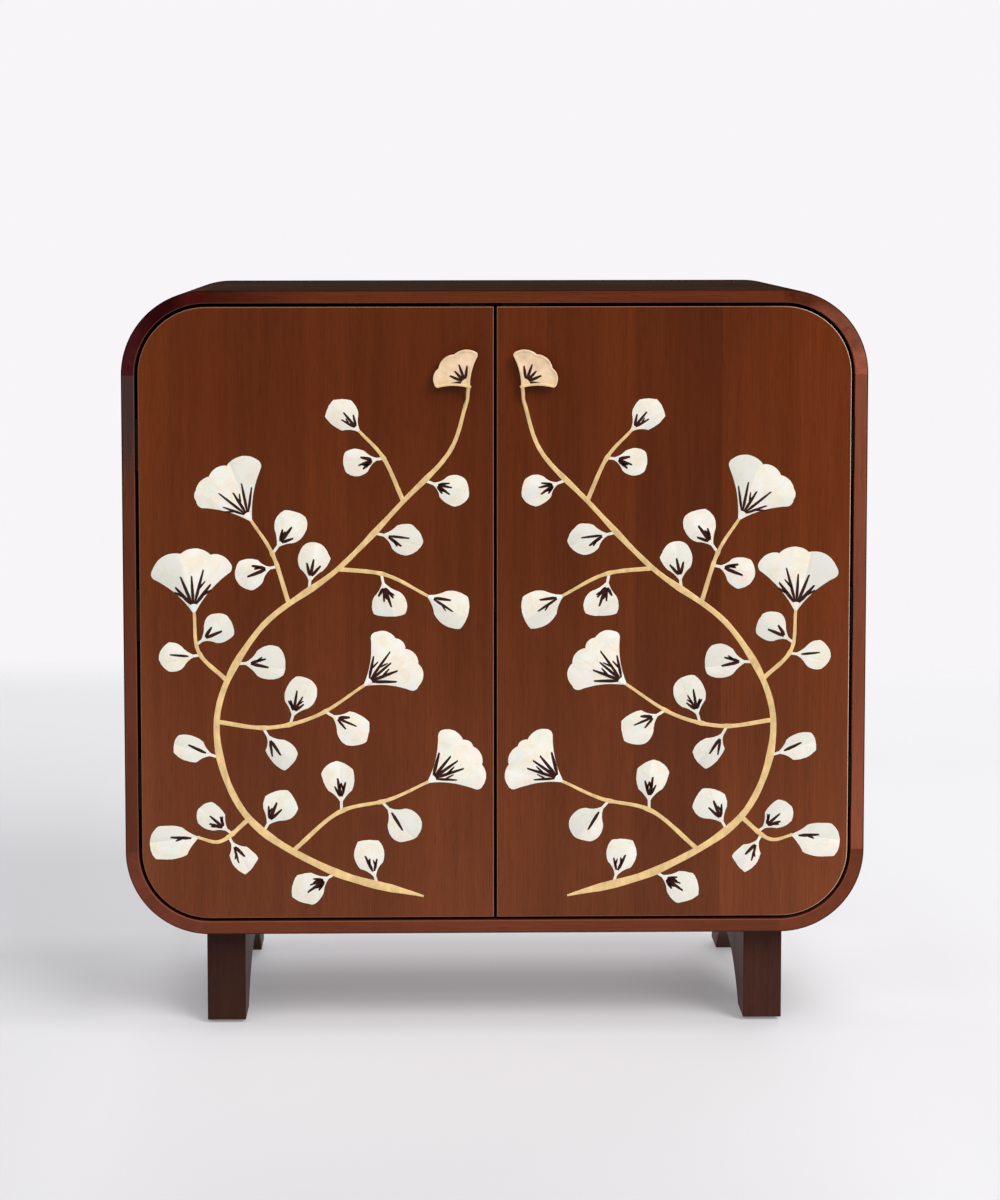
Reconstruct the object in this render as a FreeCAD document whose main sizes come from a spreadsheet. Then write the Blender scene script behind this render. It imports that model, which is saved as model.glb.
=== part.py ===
import FreeCAD, Part
import math
import os
import re
import Sketcher

# Inlay cabinet: a rounded band of boards and corner blocks on two arched leg frames, two inset
# doors with brass and pearl inlay on slim butt hinges, one shelf and a back panel.
# Millimetres. X runs to the right, the doors face -Y, and Z is up from the floor. The origin is
# on the floor, under the middle of the whole piece, pulls included.
# The right-hand pieces are modelled and the left-hand ones are their mirror images.

SIZES = {
    # case
    "case_width": 914,
    "case_height": 798,
    "case_depth": 406,
    "corner_radius": 104,
    "band_thickness": 16,
    # dowels between boards and corner blocks
    "dowel_radius": 4,
    "dowel_reach": 14,
    "dowel_edge_distance": 50,
    # back
    "back_thickness": 6,
    "back_rebate": 8,
    "back_clearance": 0.3,
    "back_screw_radius": 1.5,
    "back_screw_head_radius": 3,
    "back_screw_head_height": 2,
    "back_screw_length": 18,
    "back_screw_spacing": 200,
    # shelf
    "shelf_thickness": 18,
    "shelf_setback": 34,
    "shelf_end_gap": 1.5,
    "shelf_back_gap": 3,
    "shelf_level": 380,
    "shelf_pin_radius": 2.5,
    "shelf_pin_depth": 9,
    "shelf_pin_reach": 9,
    "shelf_pin_inset": 50,
    "shelf_hole_pitch": 32,
    # leg frames and glides
    "leg_height": 118,
    "leg_thickness": 48,
    "leg_inset": 97,
    "leg_setback": 30,
    "foot_length": 50,
    "arch_rise": 57,
    "leg_screw_radius": 3,
    "leg_screw_head_radius": 6,
    "leg_screw_head_height": 4,
    "leg_screw_length": 50,
    "leg_screw_inset": 25,
    "glide_radius": 12,
    "glide_height": 4,
    "glide_nail_radius": 1.5,
    "glide_nail_length": 16,
    # doors
    "door_thickness": 18,
    "door_gap": 4.5,
    "meeting_gap": 4,
    "edge_ease": 1.2,
    # slim butt hinges, whose knuckles lie in the gap beside the door
    "hinge_length": 64,
    "hinge_spacing": 210,
    "hinge_axis_depth": 1.5,
    "knuckle_radius": 1.9,
    "knuckle_play": 0.15,
    "hinge_pin_radius": 0.9,
    "hinge_pin_play": 0.05,
    "flap_thickness": 1.2,
    "flap_width": 15,
    "hinge_screw_radius": 1.2,
    "hinge_screw_head_radius": 2.6,
    "hinge_screw_head_height": 1,
    "hinge_screw_length": 13,
    "hinge_screw_spacing": 24,
    "hinge_screw_setback": 8,
    # magnet catches
    "catch_length": 46,
    "catch_width": 14,
    "catch_height": 15,
    "catch_inset": 32,
    "magnet_length": 26,
    "magnet_height": 8,
    "magnet_depth": 6,
    "strike_length": 30,
    "strike_height": 9,
    "strike_thickness": 1.5,
    "strike_gap": 0.3,
    # pulls
    "pull_inset": 33,
    "pull_drop": 117,
    "pull_length": 45,
    "pull_thickness": 4,
    "pull_standoff": 8,
    "pull_post_radius": 5,
    "pull_post_distance": 26,
    "pull_tail_width": 5,
    "pull_tail_tip": 2,
    "pull_screw_radius": 2,
    "pull_screw_bite": 7,
    "pull_screw_head_radius": 4,
    "pull_screw_head_height": 2.4,
    "pull_washer_radius": 6,
    "pull_washer_thickness": 1,
    # inlay
    "inlay_thickness": 1.2,
    "vein_thickness": 0.4,
    "vein_width": 2,
    "main_foot_width": 8.5,
    "main_tip_width": 4,
    "branch_foot_width": 5,
    "branch_tip_width": 3,
    "stalk_width": 3,
    "stalk_length": 12,
    "short_stalk_length": 9,
    "palmette_length": 80,
    "small_palmette_length": 74,
    "large_leaf_length": 57,
    "leaf_length": 48,
    "small_leaf_length": 43,
}

DERIVED = {
    "case_bottom": "glide_height + leg_height",
    "case_top": "case_bottom + case_height",
    "case_middle": "case_bottom + case_height / 2",
    "pull_projection": "pull_thickness + pull_standoff",
    "front": "-(case_depth - pull_projection) / 2",
    "back": "front + case_depth",
    "depth_middle": "front + case_depth / 2",
    "half_width": "case_width / 2",
    "half_board": "half_width - corner_radius",
    "side_height": "case_height - 2 * corner_radius",
    "inner_half_width": "half_width - band_thickness",
    "inner_bottom": "case_bottom + band_thickness",
    "inner_top": "case_top - band_thickness",
    "inner_corner_radius": "corner_radius - band_thickness",
    "back_seat": "back - back_thickness",
    "back_overlap": "back_rebate - back_clearance",
    "back_width": "2 * inner_half_width + 2 * back_overlap",
    "back_height": "inner_top - inner_bottom + 2 * back_overlap",
    "back_corner_radius": "inner_corner_radius + back_overlap",
    "shelf_length": "2 * inner_half_width - 2 * shelf_end_gap",
    "shelf_front": "front + shelf_setback",
    "shelf_rear": "back_seat - shelf_back_gap",
    "shelf_bottom": "inner_bottom + shelf_level",
    "leg_length": "case_depth - 2 * leg_setback",
    "leg_middle": "half_width - leg_inset - leg_thickness / 2",
    "arch_half_span": "leg_length / 2 - foot_length",
    "arch_radius": "(arch_half_span * arch_half_span / arch_rise + arch_rise) / 2",
    "door_edge": "inner_half_width - door_gap",
    "door_width": "door_edge - meeting_gap / 2",
    "door_bottom": "inner_bottom + door_gap",
    "door_top": "inner_top - door_gap",
    "door_height": "door_top - door_bottom",
    "door_corner_radius": "inner_corner_radius - door_gap",
    "door_back": "front + door_thickness",
    "hinge_x": "inner_half_width - door_gap / 2",
    "hinge_y": "front + hinge_axis_depth",
    "flap_start": "hinge_y + knuckle_radius - flap_thickness",
    "knuckle_pitch": "hinge_length / 5",
    "pull_foot_z": "case_top - pull_drop",
}

# Counts. The case's flap of a hinge has its first, third and fifth knuckle.
CASE_KNUCKLES = (-2, 0, 2)
DOOR_KNUCKLES = (-1, 1)
SHELF_HOLES_EACH_WAY = 2
STEM_SAMPLES_PER_SPAN = 4

# The vine on a door. A point is a share of the door's width, from its outer edge, and a share of
# its height, from its bottom edge.
STEM_SHARES = {
    "main": [(0.80, 0.035), (0.53, 0.080), (0.29, 0.175), (0.215, 0.33), (0.335, 0.475),
             (0.56, 0.575), (0.745, 0.685), (0.875, 0.765), (0.925, 0.848)],
    "low_inner": [(0.43, 0.112), (0.56, 0.175), (0.70, 0.195), (0.815, 0.225)],
    "low_outer": [(0.305, 0.165), (0.225, 0.128), (0.157, 0.134)],
    "mid_inner": [(0.215, 0.325), (0.36, 0.315), (0.50, 0.335), (0.635, 0.385)],
    "mid_outer": [(0.240, 0.395), (0.165, 0.440), (0.153, 0.505)],
    "upper_outer": [(0.42, 0.52), (0.375, 0.60), (0.315, 0.655)],
    "upper_inner": [(0.56, 0.575), (0.695, 0.565), (0.815, 0.53)],
    "top": [(0.745, 0.685), (0.69, 0.755), (0.62, 0.80)],
}

# Leaves: the stem, the share along it, the turn in degrees (positive to the left of the run on
# the left door), the stalk and the leaf. A leaf without a stalk ends its stem.
LEAF_PLACE_SHARES = [
    ("low_inner", 1.0, 10, None, "small_palmette_length"),
    ("mid_inner", 1.0, 5, None, "small_palmette_length"),
    ("mid_outer", 1.0, -2, None, "palmette_length"),
    ("upper_outer", 1.0, 0, None, "palmette_length"),
    ("low_outer", 1.0, 18, None, "large_leaf_length"),
    ("upper_inner", 1.0, 0, None, "large_leaf_length"),
    ("top", 1.0, 0, None, "leaf_length"),
    ("main", 0.06, -60, "stalk_length", "leaf_length"),
    ("main", 0.115, 55, "stalk_length", "leaf_length"),
    ("main", 0.215, -80, "stalk_length", "leaf_length"),
    ("main", 0.325, 60, "stalk_length", "leaf_length"),
    ("main", 0.45, -60, "stalk_length", "leaf_length"),
    ("main", 0.58, 50, "stalk_length", "leaf_length"),
    ("main", 0.69, -60, "stalk_length", "leaf_length"),
    ("main", 0.80, -65, "stalk_length", "small_leaf_length"),
    ("low_inner", 0.35, 65, "stalk_length", "leaf_length"),
    ("low_inner", 0.62, -60, "stalk_length", "leaf_length"),
    ("low_outer", 0.36, 80, "short_stalk_length", "small_leaf_length"),
    ("low_outer", 0.30, -78, "short_stalk_length", "small_leaf_length"),
    ("mid_inner", 0.30, -60, "stalk_length", "leaf_length"),
    ("mid_inner", 0.48, 60, "stalk_length", "leaf_length"),
    ("mid_inner", 0.72, -60, "stalk_length", "leaf_length"),
    ("mid_outer", 0.45, 65, "short_stalk_length", "small_leaf_length"),
    ("mid_outer", 0.60, -65, "short_stalk_length", "small_leaf_length"),
    ("upper_outer", 0.50, -60, "stalk_length", "leaf_length"),
    ("upper_outer", 0.36, 84, "short_stalk_length", "small_leaf_length"),
    ("upper_inner", 0.45, -65, "stalk_length", "leaf_length"),
    ("top", 0.50, 65, "short_stalk_length", "small_leaf_length"),
]
PALMETTES = ("palmette_length", "small_palmette_length")

# A palmette is a fan of round lobes: half its angle, and the depth between lobes as a share.
PALMETTE_LOBES = 5
PALMETTE_HALF_ANGLE = 43
PALMETTE_VALLEY_SHARE = 0.91
PALMETTE_VEIN_ANGLES = (-35, -18, 0, 18, 35)
# The pull is a wider palmette that leans towards the outer edge of its door.
PULL_HALF_ANGLE = 55
PULL_LEAN_ANGLE = 128
PULL_REST_SHARE = 0.35
# A leaf is a drop: a round head, as a share of its length, on two flanks that meet the stalk.
LEAF_HEAD_SHARE = 0.42
LEAF_VEIN_ANGLES = (-24, 0, 24)
# A vein is a kite: where it starts, ends and is widest, and how far it closes up at the stalk.
VEIN_START_SHARE = 0.17
VEIN_END_SHARE = 0.70
VEIN_BULGE_SHARE = 0.3
VEIN_CLOSING_SHARE = 0.3

EAST = FreeCAD.Vector(1, 0, 0)
NORTH = FreeCAD.Vector(0, 1, 0)
UP = FreeCAD.Vector(0, 0, 1)
# Turns a shape that stands up from its base so that it points the named way.
TURNS = {
    "up": FreeCAD.Rotation(UP, 0),
    "down": FreeCAD.Rotation(EAST, 180),
    "right": FreeCAD.Rotation(NORTH, 90),
    "left": FreeCAD.Rotation(NORTH, -90),
    "front": FreeCAD.Rotation(EAST, 90),
    "back": FreeCAD.Rotation(EAST, -90),
}
# What a screw's shank start adds to its head's place, for each way that it points.
AHEAD = {"down": (0, 0, -1), "right": (1, 0, 0), "left": (-1, 0, 0), "front": (0, -1, 0)}
TOUCH = 1e-4

doc = FreeCAD.newDocument("inlay_cabinet")
nodes = []


def make_sheet():
    """One row for each driving size, then one for each size that follows from them."""
    made = doc.addObject("Spreadsheet::Sheet", "Sizes")
    rows = list(SIZES.items()) + [(name, "=" + rule) for name, rule in DERIVED.items()]
    for row, (name, content) in enumerate(rows, 1):
        made.set(f"A{row}", name)
        made.set(f"B{row}", str(content))
        made.setAlias(f"B{row}", name)
    doc.recompute()
    return made


sheet = make_sheet()


def size(name):
    return float(sheet.get(name))


def bind(thing, path, formula):
    """Bind a property to a formula that is written in the sheet's own names."""
    thing.setExpression(path, re.sub(r"[a-z_]+", lambda found: "Sizes." + found.group(), str(formula)))


def place(thing, x, y, z, turn="up"):
    thing.Placement = FreeCAD.Placement(FreeCAD.Vector(), TURNS[turn])
    bind(thing, "Placement.Base.x", x)
    bind(thing, "Placement.Base.y", y)
    bind(thing, "Placement.Base.z", z)
    return thing


def box(name, length, width, height, x, y, z):
    """A block, placed by its low corner."""
    made = doc.addObject("Part::Box", name)
    bind(made, "Length", length)
    bind(made, "Width", width)
    bind(made, "Height", height)
    return place(made, x, y, z)


def cylinder(name, radius, height, x, y, z, turn="up"):
    made = doc.addObject("Part::Cylinder", name)
    bind(made, "Radius", radius)
    bind(made, "Height", height)
    return place(made, x, y, z, turn)


def cone(name, first_radius, last_radius, height, x, y, z, turn):
    made = doc.addObject("Part::Cone", name)
    bind(made, "Radius1", first_radius)
    bind(made, "Radius2", last_radius)
    bind(made, "Height", height)
    return place(made, x, y, z, turn)


def cut(name, base, *tools):
    """Take the tools away from the base, one after another."""
    made = base
    for count, tool in enumerate(tools, 1):
        taken = doc.addObject("Part::Cut", name if count == len(tools) else f"{name}_step_{count}")
        taken.Base = made
        taken.Tool = tool
        made = taken
    return made


def fuse(name, *shapes):
    made = doc.addObject("Part::MultiFuse", name)
    made.Shapes = list(shapes)
    return made


def group(name, *shapes):
    """Separate solids that are kept as one node, or cut as one tool."""
    made = doc.addObject("Part::Compound", name)
    made.Links = list(shapes)
    return made


def mirror(name, source, normal=EAST, level="0"):
    """The same piece on the other side of the middle, or of a level."""
    made = doc.addObject("Part::Mirroring", name)
    made.Source = source
    made.Normal = normal
    bind(made, "Base.z", level)
    return made


def node(thing, label):
    """Mark a sub-part. Its label names its file."""
    thing.Label = label
    nodes.append(thing)
    return thing


def both_sides(name, source):
    """Keep a right-hand piece and its mirror image as two nodes."""
    node(source, "right_" + name)
    node(mirror(name + "_mirrored", source), "left_" + name)


def screw(name, kind, x, y, z, turn, countersunk=True):
    """A screw of a kind whose sizes are in the sheet. Its head starts at the given point."""
    tip = kind + "_radius" if countersunk else kind + "_head_radius"
    head = cone(name + "_head", kind + "_head_radius", tip, kind + "_head_height", x, y, z, turn)
    if not countersunk:
        doc.removeObject(head.Name)
        head = cylinder(name + "_head", tip, kind + "_head_height", x, y, z, turn)
    moved = [f"{at} + {step} * {kind}_head_height" for at, step in zip((x, y, z), AHEAD[turn])]
    shank = cylinder(name + "_shank", kind + "_radius", f"{kind}_length - {kind}_head_height", *moved, turn)
    return fuse(name, head, shank)


def named_plane(body, role):
    for feature in body.Origin.OriginFeatures:
        if feature.Role == role:
            return feature
    raise RuntimeError(f"{body.Name} has no {role}")


def edges_where(shape, test):
    return [f"Edge{number}" for number, edge in enumerate(shape.Edges, 1) if test(edge)]


def stands_at(edge, x_places):
    """True for an edge along Y whose ends are both at one of the given widths."""
    ends = [vertex.Point for vertex in edge.Vertexes]
    along_depth = len(ends) == 2 and (ends[0] - ends[1]).cross(NORTH).Length < TOUCH
    return along_depth and any(abs(ends[0].x - x) < TOUCH for x in x_places)


def lies_at(edge, y_places):
    """True for an edge that lies in one of the given planes across Y."""
    return any(all(abs(vertex.Point.y - y) < TOUCH for vertex in edge.Vertexes) for y in y_places)


def runs_along(edge, way):
    """True for a straight edge that lies along an axis."""
    ends = [vertex.Point for vertex in edge.Vertexes]
    return len(ends) == 2 and edge.Curve.TypeId == "Part::GeomLine" and (
        ends[0] - ends[1]).cross(way).Length < TOUCH


def is_arc(edge):
    return edge.Curve.TypeId == "Part::GeomCircle"


def eased(name, base, test):
    """Round the edges of a shape that pass a test."""
    doc.recompute()
    radius = size("edge_ease")
    picked = [number for number, edge in enumerate(base.Shape.Edges, 1) if test(edge)]
    made = doc.addObject("Part::Fillet", name)
    made.Base = base
    made.Edges = [(number, radius, radius) for number in picked]
    return made


def upright_board(name, width, height, thickness, radius, rounded_left, ease, x, y, z):
    """A standing board with its right-hand corners rounded, or all four, and its rims eased.

    It is drawn on the XZ plane, which faces -Y, so its place moves back by its thickness."""
    body = doc.addObject("PartDesign::Body", name)
    sketch = body.newObject("Sketcher::SketchObject", name + "_outline")
    sketch.AttachmentSupport = [(named_plane(body, "XZ_Plane"), "")]
    sketch.MapMode = "FlatFace"
    across = size(width)
    tall = size(height)
    ring = [(0, 0), (across, 0), (across, tall), (0, tall), (0, 0)]
    points = [FreeCAD.Vector(right, up, 0) for right, up in ring]
    for start, end in zip(points, points[1:]):
        sketch.addGeometry(Part.LineSegment(start, end))
    for line in range(4):
        sketch.addConstraint(Sketcher.Constraint("Coincident", line, 2, (line + 1) % 4, 1))
    for line in (0, 2):
        sketch.addConstraint(Sketcher.Constraint("Horizontal", line))
    for line in (1, 3):
        sketch.addConstraint(Sketcher.Constraint("Vertical", line))
    sketch.addConstraint(Sketcher.Constraint("Coincident", 0, 1, -1, 1))
    wide = sketch.addConstraint(Sketcher.Constraint("DistanceX", 0, 1, 0, 2, across))
    high = sketch.addConstraint(Sketcher.Constraint("DistanceY", 1, 1, 1, 2, tall))
    bind(sketch, f"Constraints[{wide}]", width)
    bind(sketch, f"Constraints[{high}]", height)
    pad = body.newObject("PartDesign::Pad", name + "_board")
    pad.Profile = sketch
    bind(pad, "Length", thickness)
    body.Tip = pad
    doc.recompute()
    rounded = body.newObject("PartDesign::Fillet", name + "_corners")
    places = (0, across) if rounded_left else (across,)
    rounded.Base = (pad, edges_where(pad.Shape, lambda edge: stands_at(edge, places)))
    bind(rounded, "Radius", radius)
    body.Tip = rounded
    doc.recompute()
    faces = (0, -size(thickness))
    eased = body.newObject("PartDesign::Fillet", name + "_rims")
    eased.Base = (rounded, edges_where(rounded.Shape, lambda edge: lies_at(edge, faces)))
    bind(eased, "Radius", ease)
    body.Tip = eased
    return place(body, x, f"{y} + {thickness}", z)


def make_dowels():
    """Three dowels at each butt between a board and a corner block, lying along the butt's run."""
    rows = {
        "front": "front + dowel_edge_distance",
        "middle": "depth_middle",
        "rear": "back - dowel_edge_distance",
    }
    corner = []
    for row, y in rows.items():
        corner.append(cylinder(f"flat_dowel_{row}", "dowel_radius", "2 * dowel_reach",
                               "half_board - dowel_reach", y, "case_bottom + band_thickness / 2", "right"))
        corner.append(cylinder(f"standing_dowel_{row}", "dowel_radius", "2 * dowel_reach",
                               "half_width - band_thickness / 2", y,
                               "case_bottom + corner_radius - dowel_reach"))
    low_right = group("low_right_dowels", *corner)
    low_left = mirror("low_left_dowels", low_right)
    low = group("low_dowels", low_right, low_left)
    high = mirror("high_dowels", low, UP, "case_middle")
    return node(group("dowels", low, high), "corner_dowels")


def make_back_screws():
    """Screws through the back panel's rim into the shoulder of the rebate."""
    made = []
    for column in (-1.5, -0.5, 0.5, 1.5):
        x = f"{column} * back_screw_spacing"
        made.append(screw(f"low_back_screw_{len(made)}", "back_screw", x, "back",
                          "inner_bottom - back_rebate / 2", "front"))
        made.append(screw(f"high_back_screw_{len(made)}", "back_screw", x, "back",
                          "inner_top + back_rebate / 2", "front"))
    for row in (-1, 1):
        z = f"case_middle + {row} * back_screw_spacing"
        for side in (-1, 1):
            x = f"{side} * (inner_half_width + back_rebate / 2)"
            made.append(screw(f"side_back_screw_{len(made)}", "back_screw", x, "back", z, "front"))
    return node(group("back_screws", *made), "back_panel_screws")


def make_back_panel(screws):
    panel = upright_board("back_board", "back_width", "back_height", "back_thickness",
                          "back_corner_radius", True, "edge_ease / 2",
                          "-back_width / 2", "back_seat", "inner_bottom - back_overlap")
    return node(cut("back", panel, screws), "back_panel")


def make_flat_boards(dowels, back_screws, leg_screws):
    """The top and bottom boards, rebated for the back panel."""
    bottom = box("bottom_blank", "2 * half_board", "case_depth", "band_thickness",
                 "-half_board", "front", "case_bottom")
    bottom_eased = eased("bottom_eased", bottom, lambda edge: runs_along(edge, EAST))
    low_rebate = box("bottom_rebate", "2 * half_board", "back_thickness", "back_rebate",
                     "-half_board", "back_seat", "inner_bottom - back_rebate")
    node(cut("bottom", bottom_eased, low_rebate, dowels, back_screws, leg_screws), "bottom_board")
    top = box("top_blank", "2 * half_board", "case_depth", "band_thickness",
              "-half_board", "front", "inner_top")
    top_eased = eased("top_eased", top, lambda edge: runs_along(edge, EAST))
    high_rebate = box("top_rebate", "2 * half_board", "back_thickness", "back_rebate",
                      "-half_board", "back_seat", "inner_top")
    node(cut("top", top_eased, high_rebate, dowels, back_screws), "top_board")


def make_side_boards(dowels, back_screws, hinge_recesses):
    side = box("side_blank", "band_thickness", "case_depth", "side_height",
               "inner_half_width", "front", "case_bottom + corner_radius")
    side_eased = eased("side_eased", side, lambda edge: runs_along(edge, UP))
    rebate = box("side_rebate", "back_rebate", "back_thickness", "side_height",
                 "inner_half_width", "back_seat", "case_bottom + corner_radius")
    holes = []
    for row, y in {"front": "shelf_front + shelf_pin_inset", "rear": "shelf_rear - shelf_pin_inset"}.items():
        for step in range(-SHELF_HOLES_EACH_WAY, SHELF_HOLES_EACH_WAY + 1):
            holes.append(cylinder(f"pin_hole_{row}_{step + SHELF_HOLES_EACH_WAY}", "shelf_pin_radius",
                                  "shelf_pin_depth", "inner_half_width", y,
                                  f"shelf_bottom - shelf_pin_radius + {step} * shelf_hole_pitch", "right"))
    pin_holes = group("pin_holes", *holes)
    both_sides("side_board", cut("side", side_eased, rebate, dowels, back_screws, pin_holes, *hinge_recesses))


def make_corners(dowels):
    """Quarter-round blocks. The rebate for the back panel follows their inside."""
    def quarter(name, radius, height, y):
        made = cylinder(name, radius, height, "half_board", y, "case_bottom + corner_radius", "back")
        made.Angle = 90
        return made
    outside = quarter("corner_outside", "corner_radius", "case_depth", "front")
    inside = quarter("corner_inside", "inner_corner_radius", "case_depth", "front")
    rebate = quarter("corner_rebate", "inner_corner_radius + back_rebate", "back_thickness", "back_seat")
    ring = cut("corner_ring", outside, inside)
    block = cut("corner", eased("corner_eased", ring, is_arc), rebate, dowels)
    node(block, "bottom_right_corner")
    node(mirror("corner_low_left", block), "bottom_left_corner")
    high = node(mirror("corner_high_right", block, UP, "case_middle"), "top_right_corner")
    node(mirror("corner_high_left", high), "top_left_corner")


def make_shelf_pins():
    made = []
    for row, y in {"front": "shelf_front + shelf_pin_inset", "rear": "shelf_rear - shelf_pin_inset"}.items():
        made.append(cylinder(f"pin_{row}", "shelf_pin_radius", "shelf_pin_depth + shelf_pin_reach",
                             "inner_half_width - shelf_pin_reach", y, "shelf_bottom - shelf_pin_radius", "right"))
    right = group("right_pins", *made)
    left = mirror("left_pins", right)
    node(group("pins", right, left), "shelf_pins")


def make_shelf():
    board = box("shelf_board", "shelf_length", "shelf_rear - shelf_front", "shelf_thickness",
                "-shelf_length / 2", "shelf_front", "shelf_bottom")
    return node(eased("shelf_eased", board, lambda edge: runs_along(edge, EAST)), "shelf")


def make_leg_screws():
    """Three screws down through the bottom board into each leg frame."""
    made = []
    rows = {
        "front": "front + leg_setback + leg_screw_inset",
        "middle": "depth_middle",
        "rear": "back - leg_setback - leg_screw_inset",
    }
    for row, y in rows.items():
        made.append(screw(f"leg_screw_{row}", "leg_screw", "leg_middle", y, "inner_bottom", "down"))
    right = group("right_leg_screws", *made)
    left = mirror("left_leg_screws", right)
    return node(group("leg_screws", right, left), "leg_frame_screws")


def make_glides():
    """A disc under each foot, held by a nail up into it."""
    made = []
    rows = {
        "front": "front + leg_setback + foot_length / 2",
        "rear": "back - leg_setback - foot_length / 2",
    }
    for row, y in rows.items():
        disc = cylinder(f"glide_disc_{row}", "glide_radius", "glide_height", "leg_middle", y, "0")
        nail = cylinder(f"glide_nail_{row}", "glide_nail_radius", "glide_nail_length + glide_height",
                        "leg_middle", y, "0")
        made.append(fuse(f"glide_{row}", disc, nail))
    right = group("right_glides", *made)
    left = mirror("left_glides", right)
    return node(group("glides", right, left), "foot_glides")


def make_leg_frames(screws, glides):
    """A thick board with a shallow arch: one round cut between its two feet.

    Every edge is eased but those that lie against the case."""
    blank = box("leg_blank", "leg_thickness", "leg_length", "leg_height",
                "leg_middle - leg_thickness / 2", "front + leg_setback", "glide_height")
    arch = cylinder("arch", "arch_radius", "leg_thickness", "leg_middle - leg_thickness / 2",
                    "depth_middle", "glide_height + arch_rise - arch_radius", "right")
    shape = cut("leg_shape", blank, arch)
    seat = size("case_bottom")
    leg = eased("leg_eased", shape, lambda edge: any(vertex.Z < seat - TOUCH for vertex in edge.Vertexes))
    both_sides("leg_frame", cut("leg", leg, screws, glides))


def at_each_hinge(name, make):
    """Three of a piece, one at each hinge's height."""
    made = []
    for step in (-1, 0, 1):
        made.append(make(f"{name}_{step + 1}", f"case_middle + {step} * hinge_spacing"))
    return group(name, *made)


def flap_plate(name, z, low_x):
    """The flat of a flap, let in flush with the wood."""
    return box(name, "flap_thickness", "flap_width", "hinge_length",
               low_x, "flap_start", f"{z} - hinge_length / 2")


def make_case_plate(name, z):
    return flap_plate(name, z, "inner_half_width")


def make_door_plate(name, z):
    return flap_plate(name, z, "door_edge - flap_thickness")


def make_flap(name, z, plate, web_start, web_length, places):
    """A flap: its plate, with a knuckle and the web that carries it at each of its places."""
    height = "knuckle_pitch - knuckle_play"
    pieces = [plate]
    for place_number in places:
        low = f"{z} + {place_number} * knuckle_pitch - ({height}) / 2"
        part_name = f"{name}_{place_number + 2}"
        pieces.append(cylinder(part_name + "_knuckle", "knuckle_radius", height, "hinge_x", "hinge_y", low))
        pieces.append(box(part_name + "_web", web_length, "flap_thickness", height,
                          web_start, "flap_start", low))
    return fuse(name, *pieces)


def make_case_flap(name, z):
    solid = make_flap(name + "_solid", z, make_case_plate(name + "_plate", z), "hinge_x",
                      "inner_half_width + flap_thickness - hinge_x", CASE_KNUCKLES)
    return cut(name, solid, make_hinge_pin(name + "_bore", z))


def make_door_flap(name, z):
    solid = make_flap(name + "_solid", z, make_door_plate(name + "_plate", z),
                      "door_edge - flap_thickness", "hinge_x - door_edge + flap_thickness", DOOR_KNUCKLES)
    bore = cylinder(name + "_bore", "hinge_pin_radius + hinge_pin_play", "hinge_length",
                    "hinge_x", "hinge_y", f"{z} - hinge_length / 2")
    return cut(name, solid, bore)


def make_hinge_pin(name, z):
    return cylinder(name, "hinge_pin_radius", "hinge_length - knuckle_play",
                    "hinge_x", "hinge_y", f"{z} - (hinge_length - knuckle_play) / 2")


def make_flap_screws(name, z, x, turn):
    made = []
    for step in (-1, 0, 1):
        made.append(screw(f"{name}_{step + 1}", "hinge_screw", x, "flap_start + hinge_screw_setback",
                          f"{z} + {step} * hinge_screw_spacing", turn))
    return group(name, *made)


def make_hinges():
    """The right-hand door's hinges. Returns what the side board and the door are cut by."""
    case_screws = at_each_hinge("case_flap_screws", lambda name, z: make_flap_screws(
        name, z, "inner_half_width", "right"))
    door_screws = at_each_hinge("door_flap_screws", lambda name, z: make_flap_screws(
        name, z, "door_edge", "left"))
    both_sides("hinge_pins", at_each_hinge("hinge_pin", make_hinge_pin))
    both_sides("hinge_case_flaps", cut("case_flaps", at_each_hinge("case_flap", make_case_flap), case_screws))
    both_sides("hinge_door_flaps", cut("door_flaps", at_each_hinge("door_flap", make_door_flap), door_screws))
    both_sides("hinge_case_screws", case_screws)
    both_sides("hinge_door_screws", door_screws)
    in_side = (at_each_hinge("side_flap_recess", make_case_plate), case_screws)
    in_door = (at_each_hinge("door_flap_recess", make_door_plate), door_screws)
    return in_side, in_door


def make_catches():
    """A magnet in a housing under the top board, for each door, level with its strike plate."""
    housing_front = "door_back + strike_thickness + strike_gap"
    housing = box("catch", "catch_length", "catch_width", "catch_height",
                  "catch_inset - catch_length / 2", housing_front, "inner_top - catch_height")
    magnet = box("magnet", "magnet_length", "magnet_depth", "magnet_height",
                 "catch_inset - magnet_length / 2", housing_front,
                 "inner_top - catch_height + (strike_height - magnet_height) / 2")
    right = cut("housing", housing, magnet)
    node(group("housings", right, mirror("left_housing", right)), "catch_housings")
    node(group("magnets", magnet, mirror("left_magnet", magnet)), "catch_magnets")


def make_strike():
    strike = box("strike", "strike_length", "strike_thickness", "strike_height",
                 "catch_inset - strike_length / 2", "door_back", "inner_top - catch_height")
    both_sides("strike_plate", strike)


def on_door(share):
    """A point of the right-hand door's front, from shares of its width and height."""
    x = size("door_edge") - share[0] * size("door_width")
    z = size("door_bottom") + share[1] * size("door_height")
    return FreeCAD.Vector(x, size("front"), z)


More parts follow.
